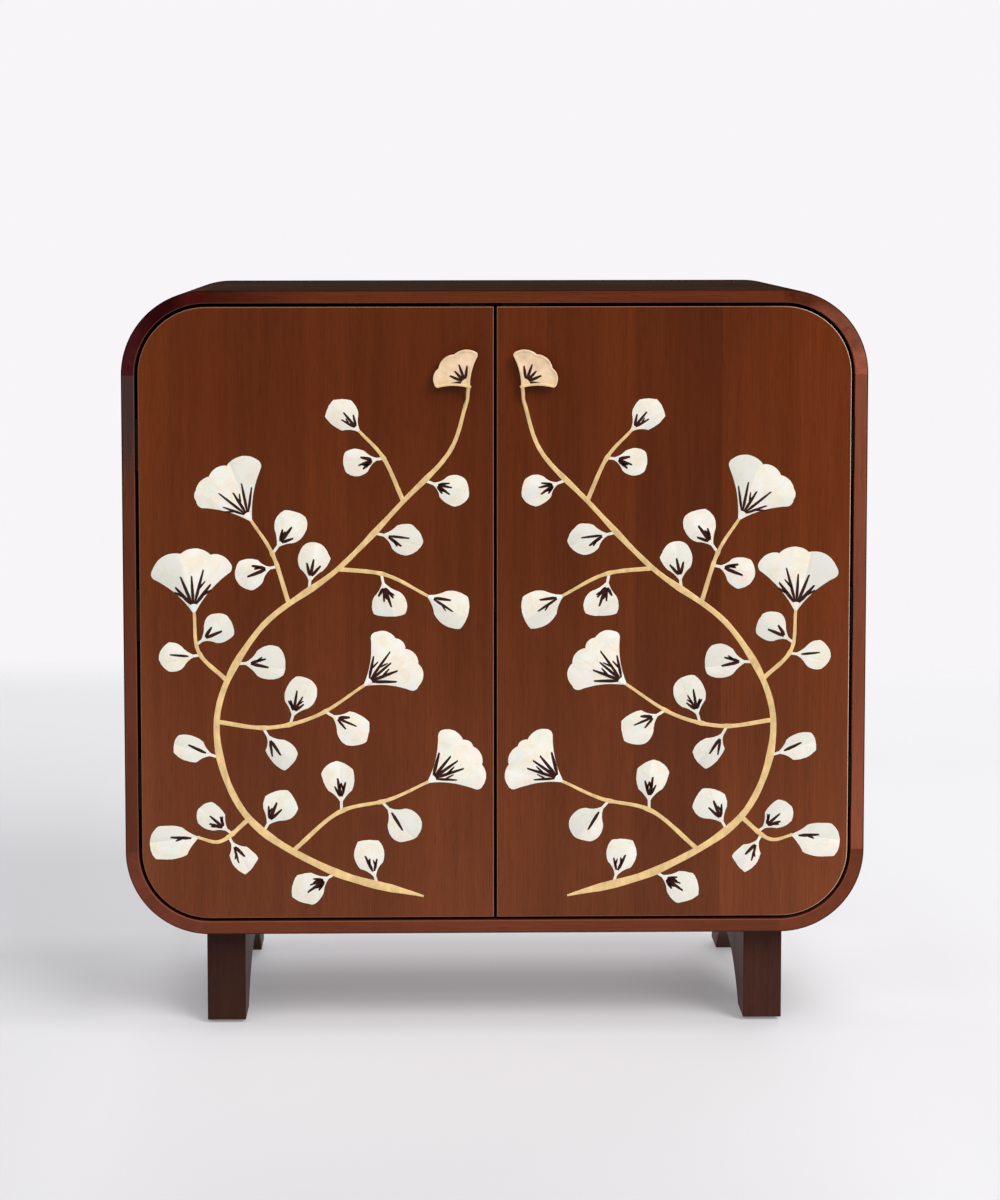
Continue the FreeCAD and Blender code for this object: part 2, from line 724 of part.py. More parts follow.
def along(points, share):
    """The point and the direction at a share of a smooth run through the points."""
    spans = len(points) - 1
    reach = min(max(share, 0), 1) * spans
    span = min(int(reach), spans - 1)
    step = reach - span
    start = points[span]
    end = points[span + 1]
    before = points[span - 1] if span > 0 else start * 2 - end
    after = points[span + 2] if span + 2 <= spans else end * 2 - start
    slope = (end - before) * 0.5
    bend = before - start * 2.5 + end * 2 - after * 0.5
    twist = (after - before + (start - end) * 3) * 0.5
    point = start + slope * step + bend * step ** 2 + twist * step ** 3
    direction = slope + bend * 2 * step + twist * 3 * step ** 2
    return point, direction.normalize()


def flat_face(edges):
    return Part.Face(Part.Wire(edges))


def stem_face(points, foot_width, tip_width):
    """A strip that follows a run and narrows to its tip."""
    count = (len(points) - 1) * STEM_SAMPLES_PER_SPAN
    left = []
    right = []
    for number in range(count + 1):
        share = number / count
        point, direction = along(points, share)
        half = (foot_width + (tip_width - foot_width) * share) / 2
        aside = direction.cross(NORTH) * half
        left.append(point + aside)
        right.append(point - aside)
    left_side = Part.BSplineCurve()
    left_side.interpolate(left)
    right_side = Part.BSplineCurve()
    right_side.interpolate(right[::-1])
    tip = Part.LineSegment(left[-1], right[-1])
    foot = Part.LineSegment(right[0], left[0])
    return flat_face([left_side.toShape(), tip.toShape(), right_side.toShape(), foot.toShape()])


class Leaf:
    """Where a leaf grows: its foot, the way it points, and a map from its own plane."""

    def __init__(self, foot, heading, length):
        self.foot = foot
        self.heading = heading
        self.aside = heading.cross(NORTH)
        self.length = length

    def at(self, ahead, aside=0.0):
        return self.foot + self.heading * ahead + self.aside * aside

    def polar(self, radius, angle):
        turn = math.radians(angle)
        return self.at(radius * math.cos(turn), radius * math.sin(turn))


def drop_face(leaf, neck):
    """A leaf: a round head on two flanks that run in to the stalk."""
    radius = leaf.length * LEAF_HEAD_SHARE
    centre = leaf.length - radius
    lean = math.asin(radius / centre)
    touch_ahead = centre - radius * math.sin(lean)
    touch_aside = radius * math.cos(lean)
    foot_left = leaf.at(0, neck)
    foot_right = leaf.at(0, -neck)
    head_left = leaf.at(touch_ahead, touch_aside)
    head_right = leaf.at(touch_ahead, -touch_aside)
    return flat_face([
        Part.LineSegment(foot_left, head_left).toShape(),
        Part.Arc(head_left, leaf.at(leaf.length), head_right).toShape(),
        Part.LineSegment(head_right, foot_right).toShape(),
        Part.LineSegment(foot_right, foot_left).toShape(),
    ])


def palmette_face(leaf, neck, half_angle):
    """A fan whose rim is a row of round lobes."""
    step = 2 * half_angle / PALMETTE_LOBES
    valley = leaf.length * PALMETTE_VALLEY_SHARE
    edges = [Part.LineSegment(leaf.at(0, -neck), leaf.polar(valley, -half_angle)).toShape()]
    for lobe in range(PALMETTE_LOBES):
        start = -half_angle + lobe * step
        edges.append(Part.Arc(leaf.polar(valley, start), leaf.polar(leaf.length, start + step / 2),
                              leaf.polar(valley, start + step)).toShape())
    edges.append(Part.LineSegment(leaf.polar(valley, half_angle), leaf.at(0, neck)).toShape())
    edges.append(Part.LineSegment(leaf.at(0, neck), leaf.at(0, -neck)).toShape())
    return flat_face(edges)


def vein_faces(leaf, angles, width):
    """Kites that spread from the stalk, closed up at their start."""
    faces = []
    for angle in angles:
        start = leaf.polar(leaf.length * VEIN_START_SHARE, angle * VEIN_CLOSING_SHARE)
        end = leaf.polar(leaf.length * VEIN_END_SHARE, angle)
        run = end - start
        middle = start + run * VEIN_BULGE_SHARE
        aside = run.cross(NORTH).normalize() * (width / 2)
        faces.append(Part.Face(Part.makePolygon([start, middle + aside, end, middle - aside, start])))
    return faces


def feature(name, shape):
    made = doc.addObject("Part::Feature", name)
    made.Shape = shape
    made.Placement = FreeCAD.Placement()
    return made


def make_inlay():
    """The brass vine, the pearl leaves and their dark veins, flush with the front of the door.

    Returns the vine and the whole leaves, which are what the door's front is recessed by."""
    runs = {name: [on_door(share) for share in shares] for name, shares in STEM_SHARES.items()}
    deep = NORTH * size("inlay_thickness")
    neck = size("stalk_width") / 2
    strips = []
    for name, points in runs.items():
        kind = "main" if name == "main" else "branch"
        strips.append(stem_face(points, size(kind + "_foot_width"), size(kind + "_tip_width")))
    leaf_faces = []
    vein_shapes = []
    for stem, share, turn, stalk, length in LEAF_PLACE_SHARES:
        point, direction = along(runs[stem], share)
        heading = FreeCAD.Rotation(NORTH, turn).multVec(direction)
        reach = size(stalk) if stalk else 0
        leaf = Leaf(point + heading * reach, heading, size(length))
        if stalk:
            grown = Leaf(point, heading, reach)
            strips.append(Part.Face(Part.makePolygon([grown.at(0, neck), grown.at(reach, neck),
                                                      grown.at(reach, -neck), grown.at(0, -neck),
                                                      grown.at(0, neck)])))
        if length in PALMETTES:
            leaf_faces.append(palmette_face(leaf, neck, PALMETTE_HALF_ANGLE))
            angles = PALMETTE_VEIN_ANGLES
        else:
            leaf_faces.append(drop_face(leaf, neck))
            angles = LEAF_VEIN_ANGLES
        vein_shapes += vein_faces(leaf, angles, size("vein_width"))
    stems = strips[0].multiFuse(strips[1:]).removeSplitter().extrude(deep)
    veins = Part.makeCompound([face.extrude(NORTH * size("vein_thickness")) for face in vein_shapes])
    leaf_recess = Part.makeCompound([face.extrude(deep) for face in leaf_faces])
    leaves = Part.makeCompound([leaf.cut(stems).cut(veins) for leaf in leaf_recess.Solids])
    stem_inlay = feature("stem_inlay", stems)
    leaf_inlay = feature("leaf_inlay", leaves)
    vein_inlay = feature("vein_inlay", veins)
    both_sides("stem_inlay", stem_inlay)
    both_sides("leaf_inlay", leaf_inlay)
    both_sides("vein_inlay", vein_inlay)
    return stem_inlay, feature("leaf_recess", leaf_recess)


def pull_leaf():
    foot = FreeCAD.Vector(size("pull_inset"), size("front") - size("pull_projection"), size("pull_foot_z"))
    turn = math.radians(PULL_LEAN_ANGLE)
    heading = FreeCAD.Vector(-math.cos(turn), 0, math.sin(turn))
    return Leaf(foot, heading, size("pull_length"))


def make_pull_screw():
    """The machine screw behind a pull, with its washer, at the pull's post."""
    post = pull_leaf().at(size("pull_post_distance"))
    back = size("door_back") + size("pull_washer_thickness")
    head = Part.makeCylinder(size("pull_screw_head_radius"), size("pull_screw_head_height"),
                             FreeCAD.Vector(post.x, back, post.z), NORTH)
    reach = back - size("front") + size("pull_screw_bite")
    shank = Part.makeCylinder(size("pull_screw_radius"), reach, FreeCAD.Vector(post.x, back, post.z), -NORTH)
    made = feature("pull_screw", head.fuse(shank))
    ring = Part.makeCylinder(size("pull_washer_radius"), size("pull_washer_thickness"),
                             FreeCAD.Vector(post.x, size("door_back"), post.z), NORTH)
    washer = feature("pull_washer", ring.cut(shank))
    both_sides("pull_screw", made)
    both_sides("pull_washer", washer)
    return made


def make_pull(screw_behind):
    """A cast palmette on a post, with a tail that comes down on the end of the vine."""
    leaf = pull_leaf()
    neck = size("pull_tail_width") / 2
    plate = palmette_face(leaf, neck, PULL_HALF_ANGLE).extrude(NORTH * size("pull_thickness"))
    post_foot = leaf.at(size("pull_post_distance"))
    post = Part.makeCylinder(size("pull_post_radius"), size("pull_projection"), post_foot, NORTH)
    end = on_door(STEM_SHARES["main"][-1])
    base = FreeCAD.Vector(leaf.foot.x, size("front"), leaf.foot.z)
    run = base - end
    rise = NORTH * size("pull_projection")
    standoff = NORTH * size("pull_standoff")
    profile = [end, end - NORTH * size("pull_tail_tip"), base - rise, base - standoff,
               end + run * PULL_REST_SHARE, end]
    aside = run.cross(NORTH).normalize() * neck
    tail = Part.Face(Part.makePolygon([point - aside for point in profile])).extrude(aside * 2)
    shape = plate.fuse([post, tail]).removeSplitter()
    pull = feature("pull_casting", shape.cut(screw_behind.Shape))
    both_sides("door_pull", pull)


def make_door(recesses, pull_screw):
    board = upright_board("door_board", "door_width", "door_height", "door_thickness",
                          "door_corner_radius", False, "edge_ease",
                          "meeting_gap / 2", "front", "door_bottom")
    both_sides("door_panel", cut("door", board, *recesses, pull_screw))


def check_document():
    for thing in doc.Objects:
        if "Invalid" in thing.State or "Error" in thing.State:
            raise RuntimeError(f"{thing.Name} failed: {thing.State}")
    for thing in nodes:
        if thing.Shape.isNull() or not thing.Shape.isValid():
            raise RuntimeError(f"{thing.Label} has no valid shape")
        if not thing.Shape.Solids:
            raise RuntimeError(f"{thing.Label} has no solid")


def main():
    dowels = make_dowels()
    back_screws = make_back_screws()
    leg_screws = make_leg_screws()
    glides = make_glides()
    make_shelf_pins()
    in_side, in_door = make_hinges()
    make_back_panel(back_screws)
    make_flat_boards(dowels, back_screws, leg_screws)
    make_side_boards(dowels, back_screws, in_side)
    make_corners(dowels)
    make_shelf()
    make_leg_frames(leg_screws, glides)
    make_catches()
    make_strike()
    recesses = make_inlay()
    pull_screw = make_pull_screw()
    make_pull(pull_screw)
    make_door((*recesses, *in_door), pull_screw)
    doc.recompute()
    check_document()
    os.makedirs("parts", exist_ok=True)
    for thing in nodes:
        thing.Shape.exportStep(f"parts/{thing.Label}.step")
        print(f"{thing.Label}: {len(thing.Shape.Solids)} solids, {thing.Shape.Volume / 1000:.2f} cm3")
    print(f"{len(nodes)} nodes")


main()
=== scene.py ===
import math
import random

import bmesh
import bpy
from mathutils import Matrix, Vector


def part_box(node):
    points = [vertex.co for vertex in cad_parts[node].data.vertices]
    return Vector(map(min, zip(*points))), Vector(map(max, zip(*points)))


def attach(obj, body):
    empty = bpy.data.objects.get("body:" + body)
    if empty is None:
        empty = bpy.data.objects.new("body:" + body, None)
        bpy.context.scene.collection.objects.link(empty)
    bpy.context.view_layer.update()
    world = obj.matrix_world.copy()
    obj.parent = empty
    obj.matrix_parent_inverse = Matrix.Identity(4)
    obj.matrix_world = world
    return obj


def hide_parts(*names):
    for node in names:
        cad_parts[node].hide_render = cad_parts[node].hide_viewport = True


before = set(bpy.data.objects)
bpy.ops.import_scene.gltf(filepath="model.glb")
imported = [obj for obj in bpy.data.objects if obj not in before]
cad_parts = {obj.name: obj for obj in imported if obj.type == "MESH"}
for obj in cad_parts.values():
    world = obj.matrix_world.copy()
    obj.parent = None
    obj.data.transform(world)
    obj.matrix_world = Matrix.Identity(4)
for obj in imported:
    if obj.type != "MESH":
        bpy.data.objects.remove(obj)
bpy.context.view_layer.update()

bl_info = {
    "name": "Inlay Cabinet",
    "version": (1, 0, 0),
    "blender": (4, 5, 0),
    "location": "3D View > Sidebar > Cabinet",
    "description": "Finishes for a rounded two-door cabinet, with its pearl and brass vine and cast pulls",
    "category": "Object",
}

MM = 0.001

# Boxes that the frame gives, in metres. The doors face -Y and the left door mirrors the right.
DOOR_LOW, DOOR_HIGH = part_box("right_door_panel")
PULL_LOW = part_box("right_door_pull")[0]
SIDE_LOW, SIDE_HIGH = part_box("right_side_board")
TOP_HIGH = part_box("top_board")[1]
CASE_TOP = TOP_HIGH.z
BAND_RADIUS = SIDE_HIGH.x - TOP_HIGH.x
FRONT = DOOR_LOW.y
NORTH = Vector((0, 1, 0))

# Wood: how often each part of its figure comes to the metre, across the grain and along it.
BAND_RATES = (14, 0.9)
FIGURE_RATES = (75, 2.2)
FIBRE_RATES = (900, 16)
PORE_RATES = (1500, 45)
# The clouds over the figure, along each axis.
CLOUD_RATES = (5, 5, 4)
# The upper face, where the photograph shows it dull and dark.
# Painted shade: the upper face is coloured darker and greyer than its stain, as it looks when light grazes
# it.
TOP_PAINTED_SHADE = (0.034, 0.018, 0.013)
# The case's other outer and inner faces, a little way behind its front.
SIDE_TONE = (0.125, 0.029, 0.011)
# Painted highlights on the front edges: the colour for most of them, a paler painted glint, and where
# along X the glint begins.
EDGE_HIGHLIGHT = (0.34, 0.15, 0.09)
EDGE_GLINT = (0.85, 0.62, 0.46)
GLINT_X_RANGE = (0.33, 0.42)
# How strong the painted highlights are on the doors and on the band, and the band's dark outer arris,
# which is painted shade, and side tone.
DOOR_HIGHLIGHT_SHARE = 0.85
BAND_HIGHLIGHT_SHARE = 0.30
ARRIS_SHARE = 0.85
ARRIS_SHADE = 0.06
SIDE_TONE_SHARE = 0.8
# How far behind the doors' faces the filler round the leaves lies.
BED_DEPTH = 0.02 * MM
# Steps back from the front, where the painted edge highlight or the side tone starts and where it is full
# or gone.
HIGHLIGHT_STEPS = (1.5 * BED_DEPTH, 0.14 * MM)
HIGHLIGHT_END_STEPS = (1.2 * MM, 2.2 * MM)
SIDE_TONE_STEPS = (2 * MM, 30 * MM)
# Steps in from the band's outer face: the painted shade on its arris, where that ends, and the face
# itself.
ARRIS_STEPS = (-2.0 * MM, -1.0 * MM)
ARRIS_END_STEPS = (-0.25 * MM, -0.05 * MM)
OUTER_FACE_STEPS = (-0.9 * MM, -0.3 * MM)
# Steps down from the case's top, where the upper face's painted shade starts and where it is full.
TOP_PAINTED_SHADE_STEPS = (-52 * MM, -4 * MM)
# Painted light, as wood_material takes its washes: the doors are painted deeper above and paler below, as
# light bounced from the floor leaves them.
DOOR_PAINTED_LIGHT = [("Z", 0.58, 0.78, (0.96, 0.86, 0.60)), ("Z", 0.58, 0.17, (1.20, 1.50, 3.0))]
# Where one leaf of veneer meets the next, and how much lighter or darker the next one is.
SEAMS = {"left": [(-0.331, 0.92), (-0.233, 1.07), (-0.184, 0.93), (-0.123, 1.07)],
         "right": [(0.062, 0.94), (0.172, 0.86), (0.278, 1.30), (0.374, 1.10)]}
SEAM_WIDTH = 0.8 * MM

# The studio: the floor, where it fades into the wall, and the faint glow painted on it, which lightens its
# shadows.
FLOOR_HALF_SIZE = 2.6
FLOOR_FADE = (1.9, 2.5)
PAPER_TONES = [(0.53, 0.525, 0.535), (0.54, 0.535, 0.545)]
PAPER_GLOW = (0.205, 0.203, 0.209)
WALL_COLOUR = (0.935, 0.915, 0.942, 1.0)
ROOM_COLOUR = (0.95, 0.96, 1.0, 1.0)
ROOM_STRENGTH = 0.36
# Soft suns: compass angle off the front and height, strength, softness in degrees, and colour.
LIGHTS = {"key": ((44, 38), 2.20, 34, (1.0, 0.985, 0.97)),
          "fill": ((-36, 30), 0.55, 80, (0.985, 0.99, 1.0)),
          "overhead": ((0, 78), 0.75, 80, (1.0, 1.0, 1.0)),
          "back": ((165, 22), 1.7, 60, (0.97, 0.98, 1.0))}
# The camera, fitted to the photograph. Its angles turn it aside, tip it down and roll it.
LENS = 75.11
LENS_SHIFT = (0.0333, -0.1833)
CAMERA_PLACE = (-0.0834, -3.2479, 1.0216)
CAMERA_ANGLES = (-0.757, 3.969, -0.070)
# Painted shadows and pools of light on the floor: the ramps along axes that bound each, and its factor.
UNDER_CASE = [("X", -0.42, -0.34), ("X", 0.42, 0.34)]
FLOOR_PAINTED_LIGHT = [([("X", -0.46, -0.66)], 0.93),
                ([("X", 0.30, 0.50)], 1.03),
                ([("Y", 0.30, 1.30)], 0.93),
                ([*UNDER_CASE, ("Y", 0.03, 0.13), ("Y", 0.50, 0.25)], 1.28),
                ([*UNDER_CASE, ("Y", 0.05, -0.02), ("Y", -0.14, -0.08)], 0.88),
                ([("X", -0.44, -0.53), ("Y", -0.19, -0.13), ("Y", 0.22, 0.12), ("X", -1.3, -0.7)], 0.90),
                ([("X", -0.62, -0.28), ("X", 0.46, 0.26), ("Y", -0.175, -0.225),
                  ("Y", -0.75, -0.30)], 1.10),
                ([("X", 0.37, 0.44), ("X", 0.60, 0.48), ("Y", -0.18, -0.10), ("Y", 0.30, 0.15)], 1.07),
                ([("X", 0.44, 0.56), ("Y", -0.10, -0.20)], 0.965)]

# The vine. A point is a share of the door's width, from its outer edge, and of its height.
STEM_SHARES = {
    "main": [(0.80, 0.035), (0.53, 0.080), (0.29, 0.175), (0.215, 0.33), (0.335, 0.475),
             (0.56, 0.575), (0.745, 0.685), (0.875, 0.765), (0.925, 0.848)],
    "low_inner": [(0.43, 0.112), (0.56, 0.175), (0.70, 0.195), (0.815, 0.225)],
    "low_outer": [(0.305, 0.165), (0.225, 0.128), (0.157, 0.134)],
    "mid_inner": [(0.215, 0.325), (0.36, 0.315), (0.50, 0.335), (0.635, 0.385)],
    "mid_outer": [(0.240, 0.395), (0.165, 0.440), (0.153, 0.505)],
    "upper_outer": [(0.42, 0.52), (0.375, 0.60), (0.315, 0.655)],
    "upper_inner": [(0.56, 0.575), (0.695, 0.565), (0.815, 0.53)],
    "top": [(0.745, 0.685), (0.69, 0.755), (0.62, 0.80)],
}
# Leaves: stem, share along it, turn in degrees, stalk and leaf length in millimetres, and kind.
LEAF_PLACES = [
    ("low_inner", 1.0, 10, 0, 74, "fan"),
    ("mid_inner", 1.0, 5, 0, 74, "fan"),
    ("mid_outer", 1.0, -2, 0, 80, "fan"),
    ("upper_outer", 1.0, 0, 0, 80, "fan"),
    ("low_outer", 1.0, 18, 0, 57, "drop"),
    ("upper_inner", 1.0, 0, 0, 57, "drop"),
    ("top", 1.0, 0, 0, 48, "drop"),
    ("main", 0.06, -60, 12, 48, "drop"),
    ("main", 0.115, 55, 12, 48, "drop"),
    ("main", 0.215, -80, 12, 48, "drop"),
    ("main", 0.325, 60, 12, 48, "drop"),
    ("main", 0.45, -60, 12, 48, "drop"),
    ("main", 0.58, 50, 12, 48, "drop"),
    ("main", 0.69, -60, 12, 48, "drop"),
    ("main", 0.80, -65, 12, 43, "drop"),
    ("low_inner", 0.35, 65, 12, 48, "drop"),
    ("low_inner", 0.62, -60, 12, 48, "drop"),
    ("low_outer", 0.36, 80, 9, 43, "drop"),
    ("low_outer", 0.30, -78, 9, 43, "drop"),
    ("mid_inner", 0.30, -60, 12, 48, "drop"),
    ("mid_inner", 0.48, 60, 12, 48, "drop"),
    ("mid_inner", 0.72, -60, 12, 48, "drop"),
    ("mid_outer", 0.45, 65, 9, 43, "drop"),
    ("mid_outer", 0.60, -65, 9, 43, "drop"),
    ("upper_outer", 0.50, -60, 12, 48, "drop"),
    ("upper_outer", 0.36, 84, 9, 43, "drop"),
    ("upper_inner", 0.45, -65, 12, 48, "drop"),
    ("top", 0.50, 65, 9, 43, "drop"),
]
FAN_HALF_ANGLE = 43
DROP_HEAD_SHARE = 0.42
# The recesses that the doors hold for the leaves and stems.
RECESS_LOBES = 5
RECESS_VALLEY_SHARE = 0.91
RECESS_LOBE_STEPS = 8
RECESS_HEAD_STEPS = 28
STALK_HALF_WIDTH = 1.5 * MM
MAIN_WIDTHS = (8.5 * MM, 4 * MM)
BRANCH_WIDTHS = (5 * MM, 3 * MM)
STEM_STEPS = 12

# How hand-cut leaves differ. Where two numbers stand, a leaf draws its own between them.
LEAF_SEED = 400
LOBE_COUNTS = (3, 3, 4, 4)
FLANK_HOLLOWS_MM = (0.9, 1.8)
FLANK_STEPS = 6
DROP_HALF_TURN = 88
DROP_UNEVENNESS = 0.42
DROP_BREADTHS = (0.90, 1.05)
DROP_BIASES = (-0.09, 0.09)
DROP_REACHES = (0.93, 1.12)
DROP_END_REACH = 0.98
DROP_SWELLS = (0.30, 1.05)
DROP_BOW_STEPS = 14
FAN_SPARE_ANGLES = (-1, 3)
FAN_UNEVENNESS = 0.5
FAN_DENT = 0.09
DENT_FACTORS = (0.6, 1.3)
SHOULDER_FACTORS = (0.7, 1.7)
SHOULDER_TURN = 0.89
SHOULDER_DROP = 0.10
SHOULDER_SWELL = 0.38
SHOULDER_STEPS = 4
FAN_SWELLS = (0.30, 0.46)
FAN_STEPS = 9
FAN_FLANK_HOLLOW = 0.05
# Where the cuts between a leaf's chips may lie, in degrees, and the point that they spread from.
FAN_CUTS = [(-19, -7), (7, 19)]
DROP_CUTS = [(-9, 9)]
CUT_FORK_SHARE = -0.15
CUT_TOLERANCE = 1e-6
# A point well inside each leaf, as a share of its length.
INSIDE_SHARE = 0.6
# Waves round a leaf's rim, with the weight of each, what is added at every point, and how soon
# the rim strays in full on its way from the foot.
RIM_WAVES = {2: 0.30, 3: 0.32, 5: 0.24, 8: 0.14}
RIM_JITTER = 0.25
RIM_RAMP = 1.6
LEAST_STRAY = 0.2 * MM
LEAF_RIM = 0.16 * MM
# A stalk stops this far short of its stem's middle. A leaf at a stem's end runs back further.
STALK_GAP = 1.2 * MM
END_TAIL = 3 * MM

# Stems: what a width gains at random and where a leaf grows, and how the main stem's foot tapers.
STEM_SEED = 70
STEM_SPARES_MM = (0.3, 0.9)
KNOT_SWELL = 1.8 * MM
KNOT_SHARE = 0.018
FOOT_WIDTH_SHARE = 0.25
FOOT_SHARE = 0.05
MAIN_RISE_FACTOR = 1.25
STEM_RIM = 0.3 * MM

# A vein: its angle off the leaf's run, and how far along the leaf it reaches, as a share.
FAN_VEINS = [(-34, 0.50), (-17, 0.64), (-2, 0.56), (14, 0.66), (31, 0.52)]
DROP_VEINS = [[(-20, 0.50), (3, 0.64), (25, 0.48)],
              [(-6, 0.64), (20, 0.50)],
              [(-26, 0.44), (-8, 0.60), (11, 0.54), (28, 0.40)],
              [(-27, 0.44), (-9, 0.62), (14, 0.50)],
              [(6, 0.62)],
              [(-16, 0.50), (8, 0.58)]]
PULL_VEINS = [(-46, 0.52), (-25, 0.66), (-5, 0.52), (14, 0.68), (36, 0.56)]
VEIN_PROUD = 0.06 * MM
PULL_VEIN_PROUD = 0.1 * MM
# A blade's outline: shares of its length, and of half its width.
BLADE_OUTLINE = [(0, 0.5), (0.30, 1), (0.70, 0.9), (1, 0.7), (1.04, -0.3), (0.62, -0.85), (0.25, -1),
                 (0, -0.5)]
BLADE_DEPTH = 0.3 * MM
VEIN_SEED = 900
VEIN_WIDTH_FACTORS = (0.85, 1.2)
VEIN_SPARE_ANGLES = (-4, 4)
VEIN_REACH_FACTORS = (0.86, 1.08)
VEIN_START_TURN = 0.5
# A forked vein's second blade: where it starts, how far it turns, its length and its width.
FORK_START = 0.42
FORK_ANGLES = (-26, 26)
FORK_LENGTH_SHARE = 0.17
FORK_WIDTH_SHARE = 0.7

# A pull: a fan that leans outwards, hollowed inside its rim, on a post and with a tail.
PULL_SEED = 34
PULL_FOOT_X = 33 * MM
PULL_FOOT_DROP = 117 * MM
PULL_LEAN_ANGLE = 128
PULL_HALF_ANGLE = 55
PULL_LOBES = 3
PULL_UNEVENNESS = 0.34
PULL_DENT = 0.045
PULL_BACK = 3 * MM
PULL_NECK = 2.4 * MM
PULL_EDGE = 0.8 * MM
PULL_HOLLOW = 0.7 * MM
PULL_INSETS = [(1.5 * MM, 0.0), (0.9 * MM, -PULL_HOLLOW)]
MERGE_DISTANCE = 0.05 * MM
# Steps off the fan's foot, between which its colour turns to that of the stems.
PULL_FOOT_STEPS = (-10 * MM, 14 * MM)
# The post: how far up the fan it stands, the share of the plate that it runs in behind the
# face, and its radii in millimetres on the way to the door.
POST_REACH = 26 * MM
POST_SINK_SHARE = 0.6
POST_RADII_MM = {0.0: 5.0, 0.35: 4.2, 0.6: 4.2, 0.85: 4.8, 0.93: 5.6, 1.0: 5.8}
# The tail starts up the fan, behind its face. It passes the fan's foot, a low point before the
# door and the vine's tip, and ends back along the vine, inside the door.
TAIL_START = 4 * MM
TAIL_START_DEPTH = 3.0 * MM
TAIL_FOOT_DEPTH = 3.1 * MM
TAIL_LOW_SHARE = 0.45
TAIL_LOW_RISE = 5.6 * MM
TAIL_TIP_RISE = 1.8 * MM
TAIL_END = 14 * MM
TAIL_END_DEPTH = 1.6 * MM
# Its first radius in millimetres, what it loses on the way, and its steps.
TAIL_RADIUS_MM = 2.75
TAIL_TAPER_MM = 0.75
TAIL_STEPS = 20
TUBE_SIDES = 14
SMOOTH_ANGLE = 35


class CabinetSizes(bpy.types.PropertyGroup):
    """Sizes of the inlay and the pulls that a user may change."""
    leaf_rise: bpy.props.FloatProperty(
        name="Leaf rise", description="How far the pearl stands over the door",
        default=0.25 * MM, unit="LENGTH")
    leaf_wobble: bpy.props.FloatProperty(
        name="Leaf wobble", description="How far the hand-cut rim of a leaf strays outwards",
        default=1.3 * MM, unit="LENGTH")
    stem_rise: bpy.props.FloatProperty(
        name="Stem rise", description="How far the brass stems stand over the door",
        default=0.35 * MM, unit="LENGTH")
    inlay_depth: bpy.props.FloatProperty(
        name="Inlay depth", description="How deep the inlay is let into the door",
        default=1.2 * MM, unit="LENGTH")
    vein_width: bpy.props.FloatProperty(
        name="Vein width", description="Widest part of a dark vein",
        default=3.9 * MM, unit="LENGTH")
    pull_length: bpy.props.FloatProperty(
        name="Pull length", description="From the foot of a pull's fan to its rim",
        default=45 * MM, unit="LENGTH")
    pull_thickness: bpy.props.FloatProperty(
        name="Pull thickness", description="Thickness of a pull's cast plate",
        default=4 * MM, unit="LENGTH")


class CabinetColours(bpy.types.PropertyGroup):
    """Colours of the finishes that a user may change."""
    door: bpy.props.FloatVectorProperty(
        name="Doors", description="Mid tone of the doors' stained veneer",
        default=(0.118, 0.0236, 0.0036), subtype="COLOR", min=0, max=1)
    band: bpy.props.FloatVectorProperty(
        name="Band", description="Mid tone of the stained boards round the doors",
        default=(0.116, 0.026, 0.0095), subtype="COLOR", min=0, max=1)
    corner: bpy.props.FloatVectorProperty(
        name="Corners", description="Mid tone of the corner blocks",
        default=(0.052, 0.0055, 0.0042), subtype="COLOR", min=0, max=1)
    leg: bpy.props.FloatVectorProperty(
        name="Legs", description="Mid tone of the leg frames",
        default=(0.044, 0.015, 0.0095), subtype="COLOR", min=0, max=1)
    pearl: bpy.props.FloatVectorProperty(
        name="Pearl", description="Main colour of the pearl leaves",
        default=(0.82, 0.74, 0.58), subtype="COLOR", min=0, max=1)
    stem: bpy.props.FloatVectorProperty(
        name="Stems", description="Colour of the brass stems",
        default=(0.84, 0.58, 0.26), subtype="COLOR", min=0, max=1)
    pull: bpy.props.FloatVectorProperty(
        name="Pulls", description="Colour of the cast pulls",
        default=(0.85, 0.61, 0.40), subtype="COLOR", min=0, max=1)
    lac: bpy.props.FloatVectorProperty(
        name="Veins", description="Colour of the dark filling in the veins",
        default=(0.034, 0.0085, 0.006), subtype="COLOR", min=0, max=1)


def sizes():
    return bpy.context.scene.cabinet_sizes


def colours():
    return bpy.context.scene.cabinet_colours


# Materials

def connect(tree, node, inputs):
    """Give each of a node's inputs a value or a link."""
    for socket, value in inputs.items():
        if isinstance(value, bpy.types.NodeSocket):
            tree.links.new(value, node.inputs[socket])
        else:
            node.inputs[socket].default_value = value


def add(tree, kind, inputs=None, **settings):
    """Add a node with its settings and its inputs."""
    made = tree.nodes.new(kind)
    for key, value in settings.items():
        setattr(made, key, value)
    connect(tree, made, inputs or {})
    return made


def new_material(name):
    made = bpy.data.materials.new(name)
    made.use_nodes = True
    return made, made.node_tree, made.node_tree.nodes["Principled BSDF"]


def position(tree):
    return add(tree, "ShaderNodeTexCoord").outputs["Object"]


def coordinates(tree):
    """Object coordinates, one output to an axis."""
    return add(tree, "ShaderNodeSeparateXYZ", {"Vector": position(tree)}).outputs


def noise(tree, rates, detail=3.0, roughness=0.55, distortion=0.0, offset=(0, 0, 0)):
    """A noise on Object coordinates. Its rates are in turns to the metre along each axis."""
    mapped = add(tree, "ShaderNodeMapping", {
        "Vector": position(tree), "Scale": rates, "Location": offset})
    made = add(tree, "ShaderNodeTexNoise", {
        "Vector": mapped.outputs["Vector"], "Scale": 1.0, "Detail": detail,
        "Roughness": roughness, "Distortion": distortion})
    return made.outputs["Fac"]


